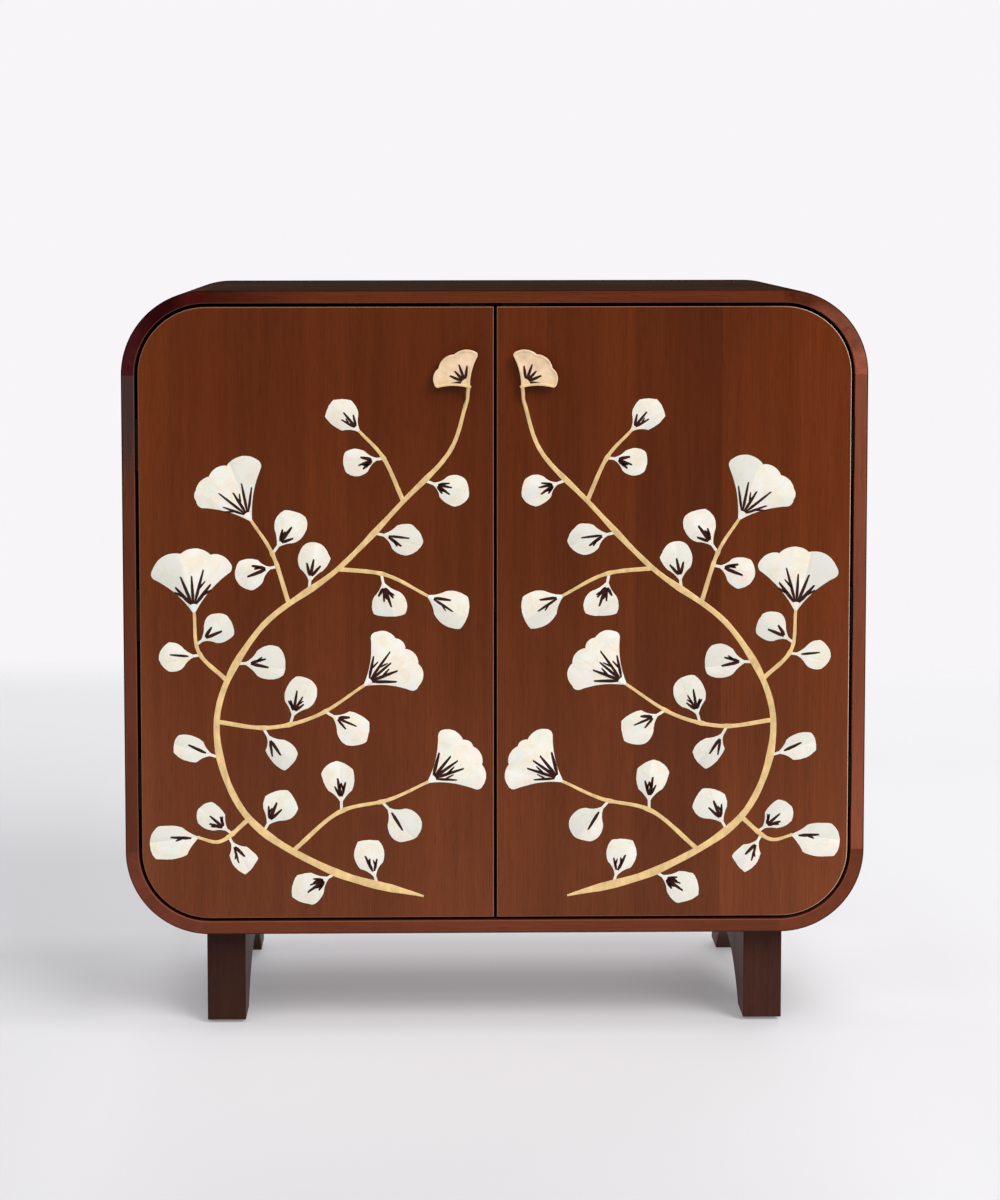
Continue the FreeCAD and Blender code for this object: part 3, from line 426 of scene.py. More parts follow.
def spread(tree, value, low, high, to_low=0.0, to_high=1.0, **settings):
    """Stretch a value's range over another."""
    made = add(tree, "ShaderNodeMapRange", {
        "Value": value, "From Min": low, "From Max": high, "To Min": to_low, "To Max": to_high},
        **settings)
    return made.outputs["Result"]


def spread_from(tree, value, edge, steps, to_low=0.0, to_high=1.0):
    """Stretch the range between two steps off an edge of the cabinet."""
    return spread(tree, value, edge + steps[0], edge + steps[1], to_low, to_high)


def blend_values(tree, share, first, second):
    made = add(tree, "ShaderNodeMix", {"Factor": share, "A": first, "B": second})
    return made.outputs["Result"]


def blend_colours(tree, share, first, second, kind="MIX"):
    """Mix two colours. The node's colour sockets are its seventh and eighth inputs."""
    first, second = (end if isinstance(end, bpy.types.NodeSocket) else (*end[:3], 1.0)
                     for end in (first, second))
    made = add(tree, "ShaderNodeMix", {0: share, 6: first, 7: second}, data_type="RGBA", blend_type=kind)
    return made.outputs[2]


def multiply(tree, first, second):
    """One colour times another, or times a value."""
    return blend_colours(tree, 1.0, first, second, "MULTIPLY")


def shade(colour, factor):
    return tuple(min(1.0, part * factor) for part in colour[:3])


def tint(colour, *factors):
    """Scale red, green and blue each by its own factor."""
    return tuple(min(1.0, part * factor) for part, factor in zip(colour, factors))


def recolour(tree, figured, own, wanted):
    """Bring figured wood that is stained one colour to another."""
    return multiply(tree, figured, [part / base for part, base in zip(wanted, own)])


def bump(tree, height, strength, depth):
    made = add(tree, "ShaderNodeBump", {"Height": height, "Strength": strength, "Distance": depth})
    return made.outputs["Normal"]


def calculate(tree, operation, first, second=0.0):
    return add(tree, "ShaderNodeMath", {0: first, 1: second}, operation=operation).outputs[0]


def band_zones(tree, parts):
    """Shares from 0 to 1: the painted shade along the band's outer arris, and the upper face's painted
    shade on its outer face near the top.
    """
    past = []
    for axis, low, high in (("X", -TOP_HIGH.x, TOP_HIGH.x), ("Z", SIDE_LOW.z, SIDE_HIGH.z)):
        aside = calculate(tree, "ABSOLUTE", calculate(tree, "SUBTRACT", parts[axis], (low + high) / 2))
        past.append(calculate(tree, "MAXIMUM", calculate(tree, "SUBTRACT", aside, (high - low) / 2)))
    squares = [calculate(tree, "MULTIPLY", item, item) for item in past]
    reach = calculate(tree, "SQRT", calculate(tree, "ADD", *squares))
    near = spread_from(tree, reach, BAND_RADIUS, ARRIS_STEPS)
    short = spread_from(tree, reach, BAND_RADIUS, ARRIS_END_STEPS, 1.0, 0.0)
    outside = spread_from(tree, reach, BAND_RADIUS, OUTER_FACE_STEPS)
    height = spread_from(tree, parts["Z"], CASE_TOP, TOP_PAINTED_SHADE_STEPS)
    return calculate(tree, "MULTIPLY", near, short), calculate(tree, "MULTIPLY", outside, height)


def along_grain(way, across, along):
    """A noise's rates, slower along the way that the grain runs."""
    return tuple(along if axis == way else across for axis in "XYZ")


def figured_wood(tree, colour, way, contrast, offset):
    """Stained wood's colour, from bands, figure, fibres and pores; its figure; and its grain."""
    bands = noise(tree, along_grain(way, *BAND_RATES), 2.0, 0.5, 0.3, offset)
    figure = noise(tree, along_grain(way, *FIGURE_RATES), 4.0, 0.6, 0.6, offset)
    clouds = noise(tree, CLOUD_RATES, 3.0, 0.5, 0.0, offset)
    fibres = noise(tree, along_grain(way, *FIBRE_RATES), 2.0, 0.6, 0.0, offset)
    pores = noise(tree, along_grain(way, *PORE_RATES), 1.0, 0.5, 0.0, offset)
    tone = blend_values(tree, 0.5, bands, figure)
    tone = spread(tree, blend_values(tree, 0.35, tone, clouds), 0.34, 0.66)
    dark = shade(colour, 1 - 0.28 * contrast)
    light = shade(colour, 1 + 0.26 * contrast)
    fine = spread(tree, fibres, 0.3, 0.7, 1 - 0.16 * contrast, 1 + 0.10 * contrast)
    base = multiply(tree, blend_colours(tree, tone, dark, light), fine)
    pitted = spread(tree, pores, 0.60, 0.72, 0.0, 0.5 * contrast)
    base = blend_colours(tree, pitted, base, shade(colour, 0.35))
    return base, figure, blend_values(tree, 0.4, fibres, pores)


def wood_material(name, colour, way, roughness, contrast, offset=(0, 0, 0), gloss=0.12, stain_and_light_washes=(),
                  on_band=False, edge_highlights=(EDGE_HIGHLIGHT, EDGE_HIGHLIGHT)):
    """Figured wood with washes of stain and of painted light and shade, and painted highlights on its
    front edges.

    A wash is an axis, where along it the wash starts and where it is full, and its factors for
    red, green and blue. A piece of the band has the upper face's painted shade above, painted shade
    along its outer arris, and nears the side tone behind its front. The two highlight colours are for
    most edges and those far right.
    """
    made, tree, shader = new_material(name)
    figured, figure, grain = figured_wood(tree, colour, way, contrast, offset)
    parts = coordinates(tree)
    base = figured
    # Washes of stain, and on some pieces painted light and shade.
    for axis, first, last, factors in stain_and_light_washes:
        tone_ramp = blend_colours(tree, spread(tree, parts[axis], first, last), (1, 1, 1), factors)
        base = multiply(tree, base, tone_ramp)
    if on_band:
        inside = spread_from(tree, parts["Y"], FRONT, SIDE_TONE_STEPS, 0.0, SIDE_TONE_SHARE)
        base = blend_colours(tree, inside, base, recolour(tree, figured, colour, SIDE_TONE))
    # The front edges get a painted highlight, with a paler painted glint far right where the caller gives
    # one.
    highlight_share = BAND_HIGHLIGHT_SHARE if on_band else DOOR_HIGHLIGHT_SHARE
    eased = spread_from(tree, parts["Y"], FRONT, HIGHLIGHT_STEPS, 0.0, highlight_share)
    behind = spread_from(tree, parts["Y"], FRONT, HIGHLIGHT_END_STEPS)
    highlight_colour = blend_colours(tree, spread(tree, parts["X"], *GLINT_X_RANGE), *edge_highlights)
    base = blend_colours(tree, blend_values(tree, behind, eased, 0.0), base, highlight_colour)
    if on_band:
        # Painted shade along the band's outer arris, and on its upper face near the top.
        arris, over = band_zones(tree, parts)
        arris = calculate(tree, "MULTIPLY", arris, ARRIS_SHARE)
        base = blend_colours(tree, arris, base, shade(colour, ARRIS_SHADE))
        base = blend_colours(tree, over, base, recolour(tree, figured, colour, TOP_PAINTED_SHADE))
    connect(tree, shader, {
        "Base Color": base,
        "Roughness": spread(tree, figure, 0.3, 0.7, roughness - 0.05, roughness + 0.06),
        "Normal": bump(tree, grain, 0.18, 0.15 * MM),
        "Specular IOR Level": gloss})
    return made


def metal_material(name, colour, metallic, roughness, streak, specular=0.5, foot=None):
    """Metal with a soft change of tone, fine brushing and small dull patches.

    A foot is a height where the colour has changed, one where it starts to, and the lower colour.
    """
    made, tree, shader = new_material(name)
    patches = noise(tree, (90, 90, 90), 3.0)
    brushing = noise(tree, streak, 2.0)
    tone = spread(tree, blend_values(tree, 0.5, patches, brushing), 0.35, 0.65)
    base = blend_colours(tree, tone, shade(colour, 0.82), shade(colour, 1.12))
    if foot:
        changed, start, lower = foot
        base = blend_colours(tree, spread(tree, coordinates(tree)["Z"], changed, start), lower, base)
    connect(tree, shader, {
        "Base Color": base,
        "Roughness": spread(tree, patches, 0.3, 0.7, roughness - 0.06, roughness + 0.08),
        "Normal": bump(tree, brushing, 0.12, 0.08 * MM),
        "Metallic": metallic,
        "Specular IOR Level": specular})
    return made


def moulded_material(name, colour, roughness, grain=700, gloss=0.5):
    """Moulded plastic with a fine even grain."""
    made, tree, shader = new_material(name)
    pits = noise(tree, (grain, grain, grain), 2.0)
    tone = spread(tree, noise(tree, (60, 60, 60), 2.0), 0.3, 0.7)
    connect(tree, shader, {
        "Base Color": blend_colours(tree, tone, shade(colour, 0.94), shade(colour, 1.05)),
        "Roughness": spread(tree, pits, 0.3, 0.7, roughness - 0.05, roughness + 0.05),
        "Normal": bump(tree, pits, 0.2, 0.1 * MM),
        "Specular IOR Level": gloss})
    return made


def pearl_material(name, colour):
    """Pearl: cream and white clouds with faint pink, green and blue, in growth lines."""
    made, tree, shader = new_material(name)
    clouds = noise(tree, (55, 55, 55), 3.0, 0.5, 0.4)
    pink = noise(tree, (38, 38, 38), 2.0, 0.5, 0.6, (3, 1, 2))
    green = noise(tree, (44, 44, 44), 2.0, 0.5, 0.6, (7, 5, 1))
    lines = noise(tree, (60, 60, 460), 2.0, 0.5, 1.2)
    shard = add(tree, "ShaderNodeAttribute", attribute_name="shard_tone").outputs["Fac"]
    base = blend_colours(tree, spread(tree, clouds, 0.35, 0.65), colour, (0.84, 0.82, 0.75))
    # Where each tint starts and is full, its greatest share, and its colour.
    for value, start, full, share, tinge in ((pink, 0.52, 0.72, 0.45, (0.84, 0.71, 0.67)),
                                             (green, 0.52, 0.72, 0.50, (0.66, 0.77, 0.71)),
                                             (shard, 0.45, 1.0, 0.75, (0.65, 0.65, 0.585)),
                                             (lines, 0.55, 0.75, 0.30, (0.74, 0.66, 0.50))):
        base = blend_colours(tree, spread(tree, value, start, full, 0.0, share), base, tinge)
    connect(tree, shader, {
        "Base Color": base,
        "Roughness": spread(tree, clouds, 0.3, 0.7, 0.22, 0.38),
        "Normal": bump(tree, lines, 0.15, 0.1 * MM),
        "Coat Weight": 0.25,
        "Coat Roughness": 0.15})
    return made


def wear(node_name, material):
    """Give a CAD node's own material slot a finish."""
    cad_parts[node_name].material_slots[0].material = material


# Mesh helpers

class Pen:
    """Draws an outline in the plane of the door with extruded and spun vertices."""

    def __init__(self, bm, start):
        self.bm = bm
        self.start = bm.verts.new(start)
        self.tip = self.start

    def line(self, end, steps=1):
        stride = (end - self.tip.co) / steps
        for _ in range(steps):
            made = bmesh.ops.extrude_vert_indiv(self.bm, verts=[self.tip])
            self.tip = made["verts"][0]
            bmesh.ops.translate(self.bm, verts=[self.tip], vec=stride)

    def arc(self, centre, angle, steps):
        """Turn round a centre. A positive angle turns from ahead to a leaf's own side."""
        made = bmesh.ops.spin(self.bm, geom=[self.tip], cent=centre, axis=-NORTH,
                              angle=math.radians(angle), steps=steps)
        self.tip = [item for item in made["geom_last"] if isinstance(item, bmesh.types.BMVert)][0]

    def bow(self, end, bulge, steps):
        """Curve to an end point. A positive bulge stands out from the chord, a negative one dips."""
        start = self.tip.co.copy()
        half = (end - start).length / 2
        depth = abs(bulge)
        way = math.copysign(1, bulge)
        out = NORTH.cross(end - start).normalized() * way
        radius = (half ** 2 + depth ** 2) / (2 * depth)
        centre = (start + end) / 2 - out * (radius - depth)
        self.arc(centre, way * math.degrees(2 * math.atan2(half, radius - depth)), steps)

    def close(self):
        """Join the last point to the first and fill the outline."""
        self.bm.edges.new((self.tip, self.start))
        bmesh.ops.contextual_create(self.bm, geom=self.bm.edges[:])


def raise_faces(bm, depth, rim, segments=2):
    """Turn flat faces into blocks: a back, closed sides, and a rounded front rim."""
    flat = bm.faces[:]
    for face in flat:
        face.normal_update()
        if face.normal.y > 0:
            face.normal_flip()
    front = set(bm.verts)
    made = bmesh.ops.extrude_face_region(bm, geom=flat, use_keep_orig=True)
    moved = [item for item in made["geom"] if isinstance(item, bmesh.types.BMVert)]
    bmesh.ops.translate(bm, verts=moved, vec=NORTH * depth)
    bmesh.ops.recalc_face_normals(bm, faces=bm.faces[:])
    if rim:
        rims = [edge for edge in bm.edges
                if all(vert in front for vert in edge.verts)
                and any(not all(vert in front for vert in face.verts) for face in edge.link_faces)]
        bmesh.ops.bevel(bm, geom=rims, offset=rim, offset_type="OFFSET", segments=segments,
                        profile=0.5, affect="EDGES", material=-1, clamp_overlap=True)


def join(target, piece):
    """Move a finished mesh into another, and free it."""
    scratch = bpy.data.meshes.new("scratch")
    piece.to_mesh(scratch)
    piece.free()
    target.from_mesh(scratch)
    bpy.data.meshes.remove(scratch)


def keep(name, bm, material, body, replaced=()):
    """Make an object of a mesh, and hang it on its body."""
    mesh = bpy.data.meshes.new(name)
    bm.to_mesh(mesh)
    mesh.shade_smooth()
    mesh.set_sharp_from_angle(angle=math.radians(SMOOTH_ANGLE))
    mesh.materials.append(material)
    piece = bpy.data.objects.new(name, mesh)
    bpy.context.scene.collection.objects.link(piece)
    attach(piece, body)
    if replaced:
        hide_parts(*replaced)


def on_both_doors(name, bm, material, replaced=()):
    """Keep a right-hand piece, and its mirror image on the left-hand door.

    Without a material, each piece takes that of its door's panel.
    """
    for side in ("right", "left"):
        nodes = [f"{side}_{node}" for node in replaced]
        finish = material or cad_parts[f"{side}_door_panel"].material_slots[0].material
        keep(f"{side}_{name}", bm, finish, f"{side}_door", nodes)
        bmesh.ops.scale(bm, vec=(-1, 1, 1), verts=bm.verts[:])
        bmesh.ops.reverse_faces(bm, faces=bm.faces[:])
    bm.free()


# The vine's layout

def on_door(share):
    x = DOOR_HIGH.x - share[0] * (DOOR_HIGH.x - DOOR_LOW.x)
    z = DOOR_LOW.z + share[1] * (DOOR_HIGH.z - DOOR_LOW.z)
    return Vector((x, FRONT, z))


def along(points, share):
    """The point and the direction at a share of a smooth run through the points."""
    spans = len(points) - 1
    reach = min(max(share, 0), 1) * spans
    span = min(int(reach), spans - 1)
    step = reach - span
    start = points[span]
    end = points[span + 1]
    before = points[span - 1] if span > 0 else start * 2 - end
    after = points[span + 2] if span + 2 <= spans else end * 2 - start
    slope = (end - before) * 0.5
    bend = before - start * 2.5 + end * 2 - after * 0.5
    twist = (after - before + (start - end) * 3) * 0.5
    point = start + slope * step + bend * step ** 2 + twist * step ** 3
    direction = slope + bend * 2 * step + twist * 3 * step ** 2
    return point, direction.normalized()


def stem_points(name, depth=0.0):
    """The points of a stem, on a door's face or at a depth behind it."""
    return [on_door(share) + NORTH * depth for share in STEM_SHARES[name]]


class Leaf:
    """Where a leaf grows, its size and kind, and a map from its own plane."""

    def __init__(self, foot, heading, length, stalk=0.0, kind="fan"):
        self.foot = foot
        self.heading = heading
        self.aside = heading.cross(NORTH)
        self.length = length
        self.stalk = stalk
        self.kind = kind

    def at(self, ahead, aside=0.0):
        return self.foot + self.heading * ahead + self.aside * aside

    def polar(self, radius, angle):
        turn = math.radians(angle)
        return self.at(radius * math.cos(turn), radius * math.sin(turn))


def all_leaves():
    """Every leaf of a door."""
    runs = {name: stem_points(name) for name in STEM_SHARES}
    for stem, share, turn, stalk, length, kind in LEAF_PLACES:
        point, direction = along(runs[stem], share)
        heading = Matrix.Rotation(math.radians(turn), 3, "Y") @ direction
        yield Leaf(point + heading * stalk * MM, heading, length * MM, stalk * MM, kind)


def uneven(chance, count, spread_share):
    """Marks from 0 to 1 that divide a run into uneven spans."""
    spans = [1 + chance.uniform(-spread_share, spread_share) for _ in range(count)]
    total = sum(spans)
    marks = [0.0]
    for span in spans:
        marks.append(marks[-1] + span / total)
    return marks


def start_stalk(bm, leaf, tail, neck):
    """Start a leaf's outline with its stalk's end and one side."""
    pen = Pen(bm, leaf.at(-tail, neck))
    pen.line(leaf.at(-tail, -neck))
    pen.line(leaf.at(0, -neck), 2)
    return pen


def end_stalk(pen, leaf, tail, neck):
    """Close a leaf's outline along the stalk's other side."""
    pen.line(leaf.at(-tail * 0.5, neck))
    pen.close()


def draw_drop(bm, leaf, tail, neck, chance):
    """A lopsided head of three or four uneven bows, on two hollow flanks that run in to the stalk."""
    radius = leaf.length * DROP_HEAD_SHARE
    middle = leaf.length - radius
    half_turn = DROP_HALF_TURN + math.degrees(math.asin(radius / middle))
    count = chance.choice(LOBE_COUNTS)
    marks = uneven(chance, count, DROP_UNEVENNESS)
    breadth = chance.uniform(*DROP_BREADTHS)
    bias = radius * chance.uniform(*DROP_BIASES)
    pen = start_stalk(bm, leaf, tail, neck)
    for number, mark in enumerate(marks):
        angle = math.radians(-half_turn + 2 * half_turn * mark)
        inner = 0 < number < count
        reach = radius * (chance.uniform(*DROP_REACHES) if inner else DROP_END_REACH)
        spot = leaf.at(middle + reach * math.cos(angle), bias + breadth * reach * math.sin(angle))
        if number == 0:
            pen.bow(spot, -chance.uniform(*FLANK_HOLLOWS_MM) * MM, FLANK_STEPS)
            continue
        half_chord = (spot - pen.tip.co).length / 2
        turn = math.radians(half_turn * (mark - marks[number - 1]))
        swell = math.tan(turn / 2) * chance.uniform(*DROP_SWELLS)
        pen.bow(spot, half_chord * swell, DROP_BOW_STEPS)
    pen.bow(leaf.at(0, neck), -chance.uniform(*FLANK_HOLLOWS_MM) * MM, FLANK_STEPS)
    end_stalk(pen, leaf, tail, neck)


def draw_fan(bm, leaf, tail, neck, half_angle, lobes, dent, unevenness, chance):
    """A fan on hollow flanks. Its rim is a row of uneven lobes, with dents between them."""
    marks = uneven(chance, lobes, unevenness)
    flank_bulge = -FAN_FLANK_HOLLOW * leaf.length
    pen = start_stalk(bm, leaf, tail, neck)
    for number, mark in enumerate(marks):
        angle = -half_angle + 2 * half_angle * mark
        if 0 < number < lobes:
            spot = leaf.polar(leaf.length * (1 - dent * chance.uniform(*DENT_FACTORS)), angle)
        else:
            shoulder = 1 - dent * chance.uniform(*SHOULDER_FACTORS)
            spot = leaf.polar(leaf.length * shoulder, angle * SHOULDER_TURN)
        if number == 0:
            turned = leaf.polar(leaf.length * (shoulder - SHOULDER_DROP), angle)
            pen.bow(turned, flank_bulge, FAN_STEPS)
            pen.bow(spot, SHOULDER_SWELL * (spot - pen.tip.co).length / 2, SHOULDER_STEPS)
            continue
        half_chord = (spot - pen.tip.co).length / 2
        pen.bow(spot, half_chord * chance.uniform(*FAN_SWELLS), FAN_STEPS)
    turned = leaf.polar(leaf.length * (shoulder - SHOULDER_DROP), half_angle)
    pen.bow(turned, SHOULDER_SWELL * (turned - pen.tip.co).length / 2, SHOULDER_STEPS)
    pen.bow(leaf.at(0, neck), flank_bulge, FAN_STEPS)
    end_stalk(pen, leaf, tail, neck)


def draw_recess(bm, leaf):
    """The even outline of the recess that a door holds for a leaf."""
    pen = Pen(bm, leaf.at(0, STALK_HALF_WIDTH))
    pen.line(leaf.at(0, -STALK_HALF_WIDTH))
    if leaf.kind == "fan":
        stride = 2 * FAN_HALF_ANGLE / RECESS_LOBES
        valley = leaf.length * RECESS_VALLEY_SHARE
        rise = leaf.length - valley * math.cos(math.radians(stride / 2))
        pen.line(leaf.polar(valley, -FAN_HALF_ANGLE))
        for lobe in range(RECESS_LOBES):
            valley_end = leaf.polar(valley, -FAN_HALF_ANGLE + (lobe + 1) * stride)
            pen.bow(valley_end, rise, RECESS_LOBE_STEPS)
    else:
        radius = leaf.length * DROP_HEAD_SHARE
        middle = leaf.length - radius
        lean = math.asin(radius / middle)
        touch = leaf.at(middle - radius * math.sin(lean), -radius * math.cos(lean))
        pen.line(touch)
        pen.arc(leaf.at(middle), 180 + 2 * math.degrees(lean), RECESS_HEAD_STEPS)
    pen.close()


def leaf_beds():
    """Stained filler that levels the recesses round the leaves and the main stem's foot."""
    whole = bmesh.new()
    for leaf in all_leaves():
        leaf.foot.y = FRONT + BED_DEPTH
        bm = bmesh.new()
        draw_recess(bm, leaf)
        raise_faces(bm, sizes().inlay_depth - BED_DEPTH, 0.0)
        join(whole, bm)
    foot = bmesh.new()
    draw_strip(foot, stem_points("main", BED_DEPTH), recess_widths("main"))
    raise_faces(foot, sizes().inlay_depth - BED_DEPTH, 0.0)
    join(whole, foot)
    return whole


def stray(bm, leaf, amount, chance):
    """Push a leaf's rim outwards by an uneven amount, less at its neck."""
    rim = list(bm.faces[:][0].verts)
    phases = [chance.uniform(0, 2 * math.pi) for _ in RIM_WAVES]
    count = len(rim)
    moves = []
    for number, vert in enumerate(rim):
        run = rim[(number + 1) % count].co - rim[number - 1].co
        out = run.cross(NORTH).normalized()
        if out.dot(vert.co - leaf.at(leaf.length * INSIDE_SHARE)) < 0:
            out = -out
        turn = 2 * math.pi * number / count
        swell = sum(weight * (0.5 + 0.5 * math.sin(wave * turn + phase))
                    for (wave, weight), phase in zip(RIM_WAVES.items(), phases))
        ahead = (vert.co - leaf.foot).dot(leaf.heading) / leaf.length
        fade = min(max(ahead * RIM_RAMP, 0), 1)
        moves.append(out * (LEAST_STRAY + fade * amount * (swell + chance.uniform(0, RIM_JITTER))))
    for vert, move in zip(rim, moves):
        vert.co += move


def split_shards(bm, leaf, angles):
    """Cut a leaf along lines that spread from behind its foot, as if it were set from chips."""
    fork = leaf.at(CUT_FORK_SHARE * leaf.length)
    for angle in angles:
        turn = math.radians(angle)
        normal = leaf.aside * math.cos(turn) - leaf.heading * math.sin(turn)
        everything = bm.verts[:] + bm.edges[:] + bm.faces[:]
        bmesh.ops.bisect_plane(bm, geom=everything, dist=CUT_TOLERANCE, plane_co=fork,
                               plane_no=normal)
    seams = [edge for edge in bm.edges if len(edge.link_faces) == 2]
    bmesh.ops.split_edges(bm, edges=seams)


def pearl_leaves():
    """Hand-cut pearl leaves, each set from two or three chips."""
    rise = sizes().leaf_rise
    whole = bmesh.new()
    whole.faces.layers.float.new("shard_tone")
    for number, leaf in enumerate(all_leaves()):
        chance = random.Random(LEAF_SEED + number)
        leaf.foot.y = FRONT - rise
        bm = bmesh.new()
        tail = leaf.stalk - STALK_GAP if leaf.stalk else END_TAIL
        if leaf.kind == "fan":
            half_angle = FAN_HALF_ANGLE + chance.uniform(*FAN_SPARE_ANGLES)
            lobes = chance.choice(LOBE_COUNTS)
            draw_fan(bm, leaf, tail, STALK_HALF_WIDTH, half_angle, lobes, FAN_DENT, FAN_UNEVENNESS,
                     chance)
            cuts = FAN_CUTS
        else:
            draw_drop(bm, leaf, tail, STALK_HALF_WIDTH, chance)
            cuts = DROP_CUTS
        angles = [chance.uniform(*ends) for ends in cuts]
        stray(bm, leaf, sizes().leaf_wobble, chance)
        split_shards(bm, leaf, angles)
        tone = bm.faces.layers.float.new("shard_tone")
        for face in bm.faces:
            face[tone] = chance.random()
        raise_faces(bm, rise + sizes().inlay_depth, LEAF_RIM)
        join(whole, bm)
    return whole


def draw_blade(start, end, width):
    """A slim vein blade, widest near its foot, with a blunt tip."""
    run = end - start
    side = run.cross(NORTH).normalized() * (width / 2)
    spots = [start + run * share + side * breadth for share, breadth in BLADE_OUTLINE]
    bm = bmesh.new()
    pen = Pen(bm, spots[0])
    for spot in spots[1:]:
        pen.line(spot)
    pen.close()
    return bm


def vein_blades(leaves, rise, lowest_share=0.13, slimness=1.0, forked_share=0.4):
    """Dark blades in a spray from the foot of each leaf, some forked, a hair over its face."""
    whole = bmesh.new()
    for number, (leaf, veins) in enumerate(leaves):
        chance = random.Random(VEIN_SEED + number)
        leaf.foot.y = FRONT - rise
        for angle, reach in veins:
            width = sizes().vein_width * slimness * chance.uniform(*VEIN_WIDTH_FACTORS)
            angle += chance.uniform(*VEIN_SPARE_ANGLES)
            reach *= chance.uniform(*VEIN_REACH_FACTORS)
            start = leaf.polar(leaf.length * lowest_share, angle * VEIN_START_TURN)
            end = leaf.polar(leaf.length * reach, angle)
            strokes = [(start, end, width)]
            if chance.random() < forked_share:
                fork = start.lerp(end, FORK_START)
                lean = angle + chance.choice(FORK_ANGLES)
                reach_out = leaf.polar(leaf.length * FORK_LENGTH_SHARE, lean) - leaf.foot
                strokes.append((fork, fork + reach_out, width * FORK_WIDTH_SHARE))
            for stroke in strokes:
                bm = draw_blade(*stroke)
                raise_faces(bm, BLADE_DEPTH, 0.0)
                join(whole, bm)
    return whole


def draw_strip(bm, points, widths):
    """A strip that follows a run, as wide at each step as the widths say."""
    edge = None
    for number, width in enumerate(widths):
        point, direction = along(points, number / (len(widths) - 1))
        side = direction.cross(NORTH) * (width / 2)
        if edge is None:
            left = bm.verts.new(point + side)
            right = bm.verts.new(point - side)
            edge = bm.edges.new((left, right))
            continue
        made = bmesh.ops.extrude_edge_only(bm, edges=[edge])
        fresh = [item for item in made["geom"] if isinstance(item, bmesh.types.BMVert)]
        next_left = next(vert for vert in fresh if left in [e.other_vert(vert) for e in vert.link_edges])
        next_right = next(vert for vert in fresh if vert is not next_left)
        next_left.co = point + side
        next_right.co = point - side
        left, right = next_left, next_right
        edge = next(item for item in made["geom"] if isinstance(item, bmesh.types.BMEdge)
                    and set(item.verts) == {left, right})


def recess_widths(name):
    """The widths of a stem's recess, from its foot to its tip."""
    foot, tip = MAIN_WIDTHS if name == "main" else BRANCH_WIDTHS
    count = (len(STEM_SHARES[name]) - 1) * STEM_STEPS
    return [foot + (tip - foot) * number / count for number in range(count + 1)]


def brass_stems():
    """The vine's stems, which swell where leaves grow. The main stem tapers to a point at its foot."""
    whole = bmesh.new()
    for number, name in enumerate(STEM_SHARES):
        chance = random.Random(STEM_SEED + number)
        main = name == "main"
        rise = sizes().stem_rise * (MAIN_RISE_FACTOR if main else 1.0)
        knots = [share for stem, share, turn, stalk, *rest in LEAF_PLACES if stem == name and stalk]
        recess = recess_widths(name)
        widths = []
        for step, width in enumerate(recess):
            share = step / (len(recess) - 1)
            width += chance.uniform(*STEM_SPARES_MM) * MM
            width += sum(KNOT_SWELL * math.exp(-((share - knot) / KNOT_SHARE) ** 2) for knot in knots)
            if main:
                width *= min(1.0, FOOT_WIDTH_SHARE + share / FOOT_SHARE)
            widths.append(width)
        bm = bmesh.new()
        draw_strip(bm, stem_points(name, -rise), widths)
        raise_faces(bm, rise + sizes().inlay_depth, STEM_RIM)
        join(whole, bm)
    return whole


def draw_tube(bm, path, radii):
    """A closed bar through round sections along a path."""
    rings = []
    for number, (point, radius) in enumerate(zip(path, radii)):
        before = path[max(number - 1, 0)]
        after = path[min(number + 1, len(path) - 1)]
        turn = (after - before).normalized().to_track_quat("Z", "X").to_matrix().to_4x4()
        made = bmesh.ops.create_circle(bm, radius=radius, segments=TUBE_SIDES,
                                       matrix=Matrix.Translation(point) @ turn)
        rings.append(list(dict.fromkeys(edge for vert in made["verts"] for edge in vert.link_edges)))
    for first, second in zip(rings, rings[1:]):
        bmesh.ops.bridge_loops(bm, edges=first + second)
    bmesh.ops.edgeloop_fill(bm, edges=rings[0])
    bmesh.ops.edgeloop_fill(bm, edges=rings[-1])
    bmesh.ops.recalc_face_normals(bm, faces=bm.faces[:])


def pull_leaf():
    """The fan of a pull, which leans towards the outer edge of its door."""
    turn = math.radians(PULL_LEAN_ANGLE)
    heading = Vector((-math.cos(turn), 0, math.sin(turn)))
    foot = Vector((PULL_FOOT_X, PULL_LOW.y, CASE_TOP - PULL_FOOT_DROP))
    return Leaf(foot, heading, sizes().pull_length)


def pull_plate(leaf):
    """A cast fan with rounded edges, hollowed inside a raised rim."""
    plate = bmesh.new()
    draw_fan(plate, leaf, PULL_BACK, PULL_NECK, PULL_HALF_ANGLE, PULL_LOBES, PULL_DENT, PULL_UNEVENNESS,
             random.Random(PULL_SEED))
    raise_faces(plate, sizes().pull_thickness, PULL_EDGE, 3)
    bmesh.ops.remove_doubles(plate, verts=plate.verts[:], dist=MERGE_DISTANCE)
    plate.normal_update()
    forward = [face for face in plate.faces if face.normal.y < -0.9]
    front = max(forward, key=lambda face: face.calc_area())
    for inset, depth in PULL_INSETS:
        bmesh.ops.inset_region(plate, faces=[front], thickness=inset, depth=depth,
                               use_even_offset=False)
    return plate


def pull_post(leaf):
    """A post from inside the plate to the door, with a flared foot."""
    foot = leaf.at(POST_REACH)
    door = Vector((foot.x, FRONT, foot.z))
    back = Vector((foot.x, PULL_LOW.y + sizes().pull_thickness * POST_SINK_SHARE, foot.z))
    post = bmesh.new()
    path = [back.lerp(door, share) for share in POST_RADII_MM]
    draw_tube(post, path, [radius * MM for radius in POST_RADII_MM.values()])
    return post


